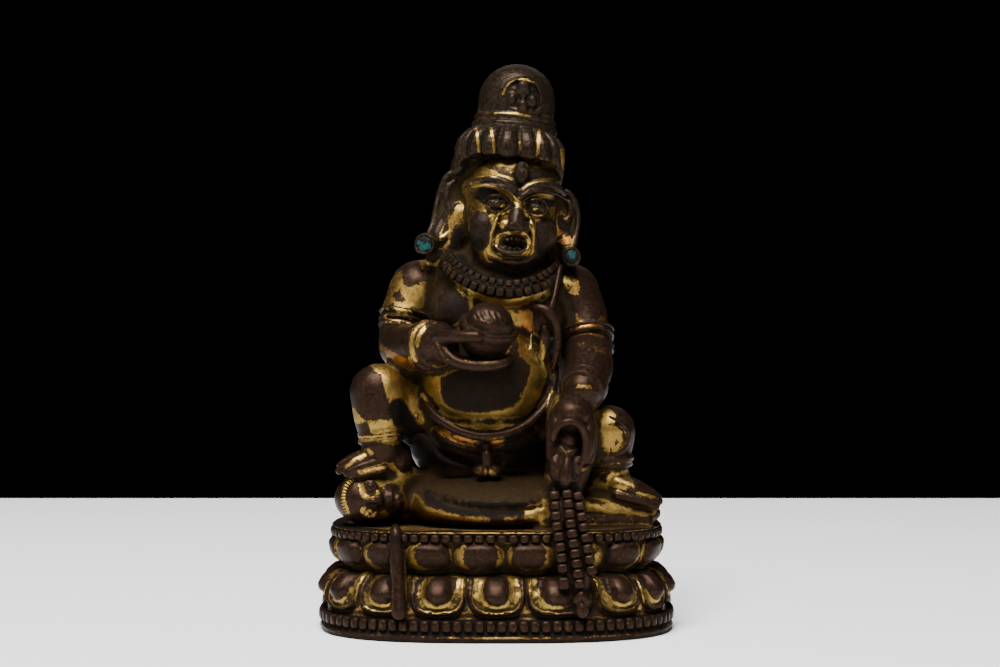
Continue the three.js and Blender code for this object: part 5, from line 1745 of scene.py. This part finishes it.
def gilt_bronze(millimetres):
    """Worn gilding over the cast and handled metal, darkened by soot and painted shade in its hollows."""
    material, wiring, shader = new_material("worn_gilt_bronze")
    names = (
        "leaf", "thin_leaf", "soot_and_shade", "shelter", "fine_height", "middle_height", "comb_phase", "comb_share",
    )
    leaf, thin, soot_and_shade, closed, fine, middle, phase, combed = (wiring.attribute(name) for name in names)
    shared = {"Place": wiring.group(millimetres)["Place"], "Fine Height": fine, "Middle Height": middle}
    gilding = wiring.group(worn_gilding(), {**shared, "Leaf": leaf})
    thin = wiring.math("MAXIMUM", thin, wiring.math("MULTIPLY", gilding["Thin Edge"], 0.8), clamp=True)
    given = {"Gilding": gilding["Gilding"], "Thin": thin, "Soot And Shade": soot_and_shade, "Shelter": closed}
    colours = wiring.group(gilt_colours(), {**shared, **given, "Dark Edge": gilding["Dark Edge"]})
    given = {"Gilding": gilding["Gilding"], "Soot And Shade": soot_and_shade, "Comb Phase": phase, "Comb Share": combed}
    grain = wiring.group(cast_grain(), {"Place": shared["Place"], **given})
    shader.inputs["Specular IOR Level"].default_value = 0.06
    sockets = {
        "Base Color": colours["Color"], "Metallic": colours["Metal"], "Roughness": colours["Roughness"],
    }
    finish_shader(wiring, shader, sockets, grain["Height"], 0.4, 0.00007)
    return material


def stone_mesh(place):
    """A low polished stone that isn't quite even, in the frame of its ornament."""
    fresh = bmesh.new()
    r = place["radius"] - RIM_WIDTH - 0.02
    face_z = ORNAMENT_LENGTH / 2
    profile = [(0, -0.85), (0.95, -0.85), (1, -0.5), (0.96, -0.25), (0.75, -0.05), (0.4, 0.08), (0, 0.12)]
    turned(fresh, [(a * r, face_z + b) for a, b in profile], ornament_frame(place), 48)
    for _ in range(2):
        bmesh.ops.subdivide_edges(fresh, edges=fresh.edges[:], cuts=1, use_grid_fill=True, smooth=0.0)
    for vertex in fresh.verts:
        lift = 0.16 * noise.noise(vertex.co * 1.1) + 0.06 * noise.noise(vertex.co * 3)
        vertex.co += Vector((0.3, -1, 0)) * lift
    mesh = mesh_of(fresh, "stone")
    put_value(mesh, "from_middle", np.linalg.norm(places_of(mesh) - np.array(place["centre"]), axis=1) / r)
    return mesh


def turquoise_in_matrix():
    """An irregular patch of turquoise in dark matrix, with fine veins."""
    inputs = [("Place", "Vector"), ("From Middle", "Float")]
    outputs = [("Color", "Color"), ("Roughness", "Float"), ("Height", "Float")]
    tree, wiring, given, result = shader_group("turquoise_in_matrix", inputs, outputs)
    place = given["Place"]
    cloud = wiring.noise(place, 0.55, 3, 0.6, 0.5)
    vein = wiring.noise(place, 1.6, 4, 0.65, 0.8)
    fine = wiring.noise(place, 5, 3, 0.6)
    reached = wiring.total((given["From Middle"], -0.55), (cloud, 1.6), (vein, 0.5), (fine, 0.1))
    patch = wiring.ramp(reached, 0.44, 0.52)
    stone = wiring.blend(fine, (0.003, 0.024, 0.025), (0.011, 0.075, 0.070))
    stone = wiring.blend(wiring.ramp(vein, 0.42, 0.35), stone, (0.003, 0.012, 0.011))
    colour = wiring.blend(patch, (0.004, 0.005, 0.005), stone)
    roughness = wiring.ramp(fine, 0.3, 0.7, 0.5, 0.7)
    height = wiring.total((patch, 0.6), (fine, 0.3))
    wiring.give(result, {"Color": colour, "Roughness": roughness, "Height": height})
    return tree


def turquoise(millimetres):
    material, wiring, shader = new_material("turquoise")
    given = {"Place": wiring.group(millimetres)["Place"], "From Middle": wiring.attribute("from_middle")}
    made = wiring.group(turquoise_in_matrix(), given)
    shader.inputs["Specular IOR Level"].default_value = 0.1
    sockets = {"Base Color": made["Color"], "Roughness": made["Roughness"]}
    finish_shader(wiring, shader, sockets, made["Height"], 0.5, 0.0001)
    return material


# The finished pieces


def piece(name, mesh, material):
    """A finished piece in metres that rides on the part's one body."""
    mesh.transform(Matrix.Scale(MM, 4))
    mesh.shade_smooth()
    mesh.name = name
    made = put_object(name, mesh)
    mesh.materials.clear()
    mesh.materials.append(material)
    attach(made, "root")
    return made


def build_pieces(millimetres):
    mesh = casting_mesh()
    finish_values(mesh)
    beadwork = beadwork_mesh()
    beadwork_values(beadwork)
    gilt = gilt_bronze(millimetres)
    casting = piece("deity_casting", mesh, gilt)
    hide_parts("gilt_bronze_casting")
    piece("beads_and_teeth", beadwork, gilt)
    stone = turquoise(millimetres)
    for side, place in EAR_ORNAMENTS.items():
        made = piece(f"turquoise_stone_{side}", stone_mesh(place), stone)
        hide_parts(f"turquoise_{side}")


# Table, lights and camera


def table_grain():
    """A faint unevenness of the painted table top, in its colour and its height."""
    outputs = [("Color", "Color"), ("Height", "Float")]
    tree, wiring, given, result = shader_group("table_grain", [("Place", "Vector")], outputs)
    place = given["Place"]
    broad, fine = wiring.noise(place, 0.012, 3, 0.5), wiring.noise(place, 1.4, 4, 0.6)
    shade = wiring.total((broad, 0.7), (fine, 0.3))
    colour = wiring.blend(shade, (0.90, 0.90, 0.90), (0.955, 0.955, 0.955))
    wiring.give(result, {"Color": colour, "Height": fine})
    return tree


def table(millimetres):
    """The pale table top that the figure stands on, which is no part of it."""
    bm = bmesh.new()
    bmesh.ops.create_cube(bm, size=1)
    size = Matrix.Diagonal((2 * TABLE_HALF_WIDTH, TABLE_BACK - TABLE_FRONT, TABLE_THICKNESS, 1))
    middle = Matrix.Translation((0, (TABLE_BACK + TABLE_FRONT) / 2, -TABLE_THICKNESS / 2))
    bmesh.ops.transform(bm, matrix=middle @ size, verts=bm.verts[:])
    bmesh.ops.bevel(bm, geom=bm.edges[:], offset=0.004, segments=3, profile=0.5, affect="EDGES", material=-1)
    mesh = mesh_of(bm, "table_top")
    made = put_object("table_top", mesh)
    material, wiring, shader = new_material("table_white")
    shader.inputs["Roughness"].default_value = 0.6
    grain = wiring.group(table_grain(), {"Place": wiring.group(millimetres)["Place"]})
    finish_shader(wiring, shader, {"Base Color": grain["Color"]}, grain["Height"], 0.15, 0.0001)
    mesh.materials.append(material)


def lights():
    """Soft lights aimed at the figure's middle: place, size and power, with metres and watts."""
    lamps = {
        "key": ((-0.12, -0.40, 0.87), (0.55, 0.45), 28),
        "fill_front": ((0.25, -0.9, 0.42), (0.3, 0.3), 0.8),
        "fill_right": ((0.9, -0.3, 0.4), (0.3, 0.5), 0.4),
        "fill_left": ((-0.9, -0.2, 0.4), (0.3, 0.5), 1.1),
        "back": ((0.1, 0.9, 0.8), (0.8, 0.4), 0.4),
    }
    for name, (place, size, power) in lamps.items():
        lamp = bpy.data.lights.new(name, "AREA")
        lamp.shape = "RECTANGLE"
        lamp.size, lamp.size_y = size
        lamp.energy = power
        made = put_object(name, lamp)
        made.location = place
        made.rotation_euler = (Vector((0, 0, 0.05)) - Vector(place)).to_track_quat("-Z", "Y").to_euler()
        made.visible_camera = False
    world = bpy.data.worlds.new("dark_room")
    world.use_nodes = True
    world.node_tree.nodes["Background"].inputs["Color"].default_value = (0.0004, 0.0004, 0.0004, 1)
    bpy.context.scene.world = world


def camera():
    lens = bpy.data.cameras.new("camera")
    lens.sensor_width = SENSOR
    lens.lens = FOCAL_PIXELS * SENSOR / PHOTO_WIDTH
    lens.clip_start = 0.01
    made = put_object("camera", lens)
    made.location = CAMERA_PLACE
    made.rotation_euler = (math.radians(90 + CAMERA_TILT), 0, 0)
    bpy.context.scene.camera = made


camera()
place_group = place_in_millimetres()
table(place_group)
lights()
build_pieces(place_group)
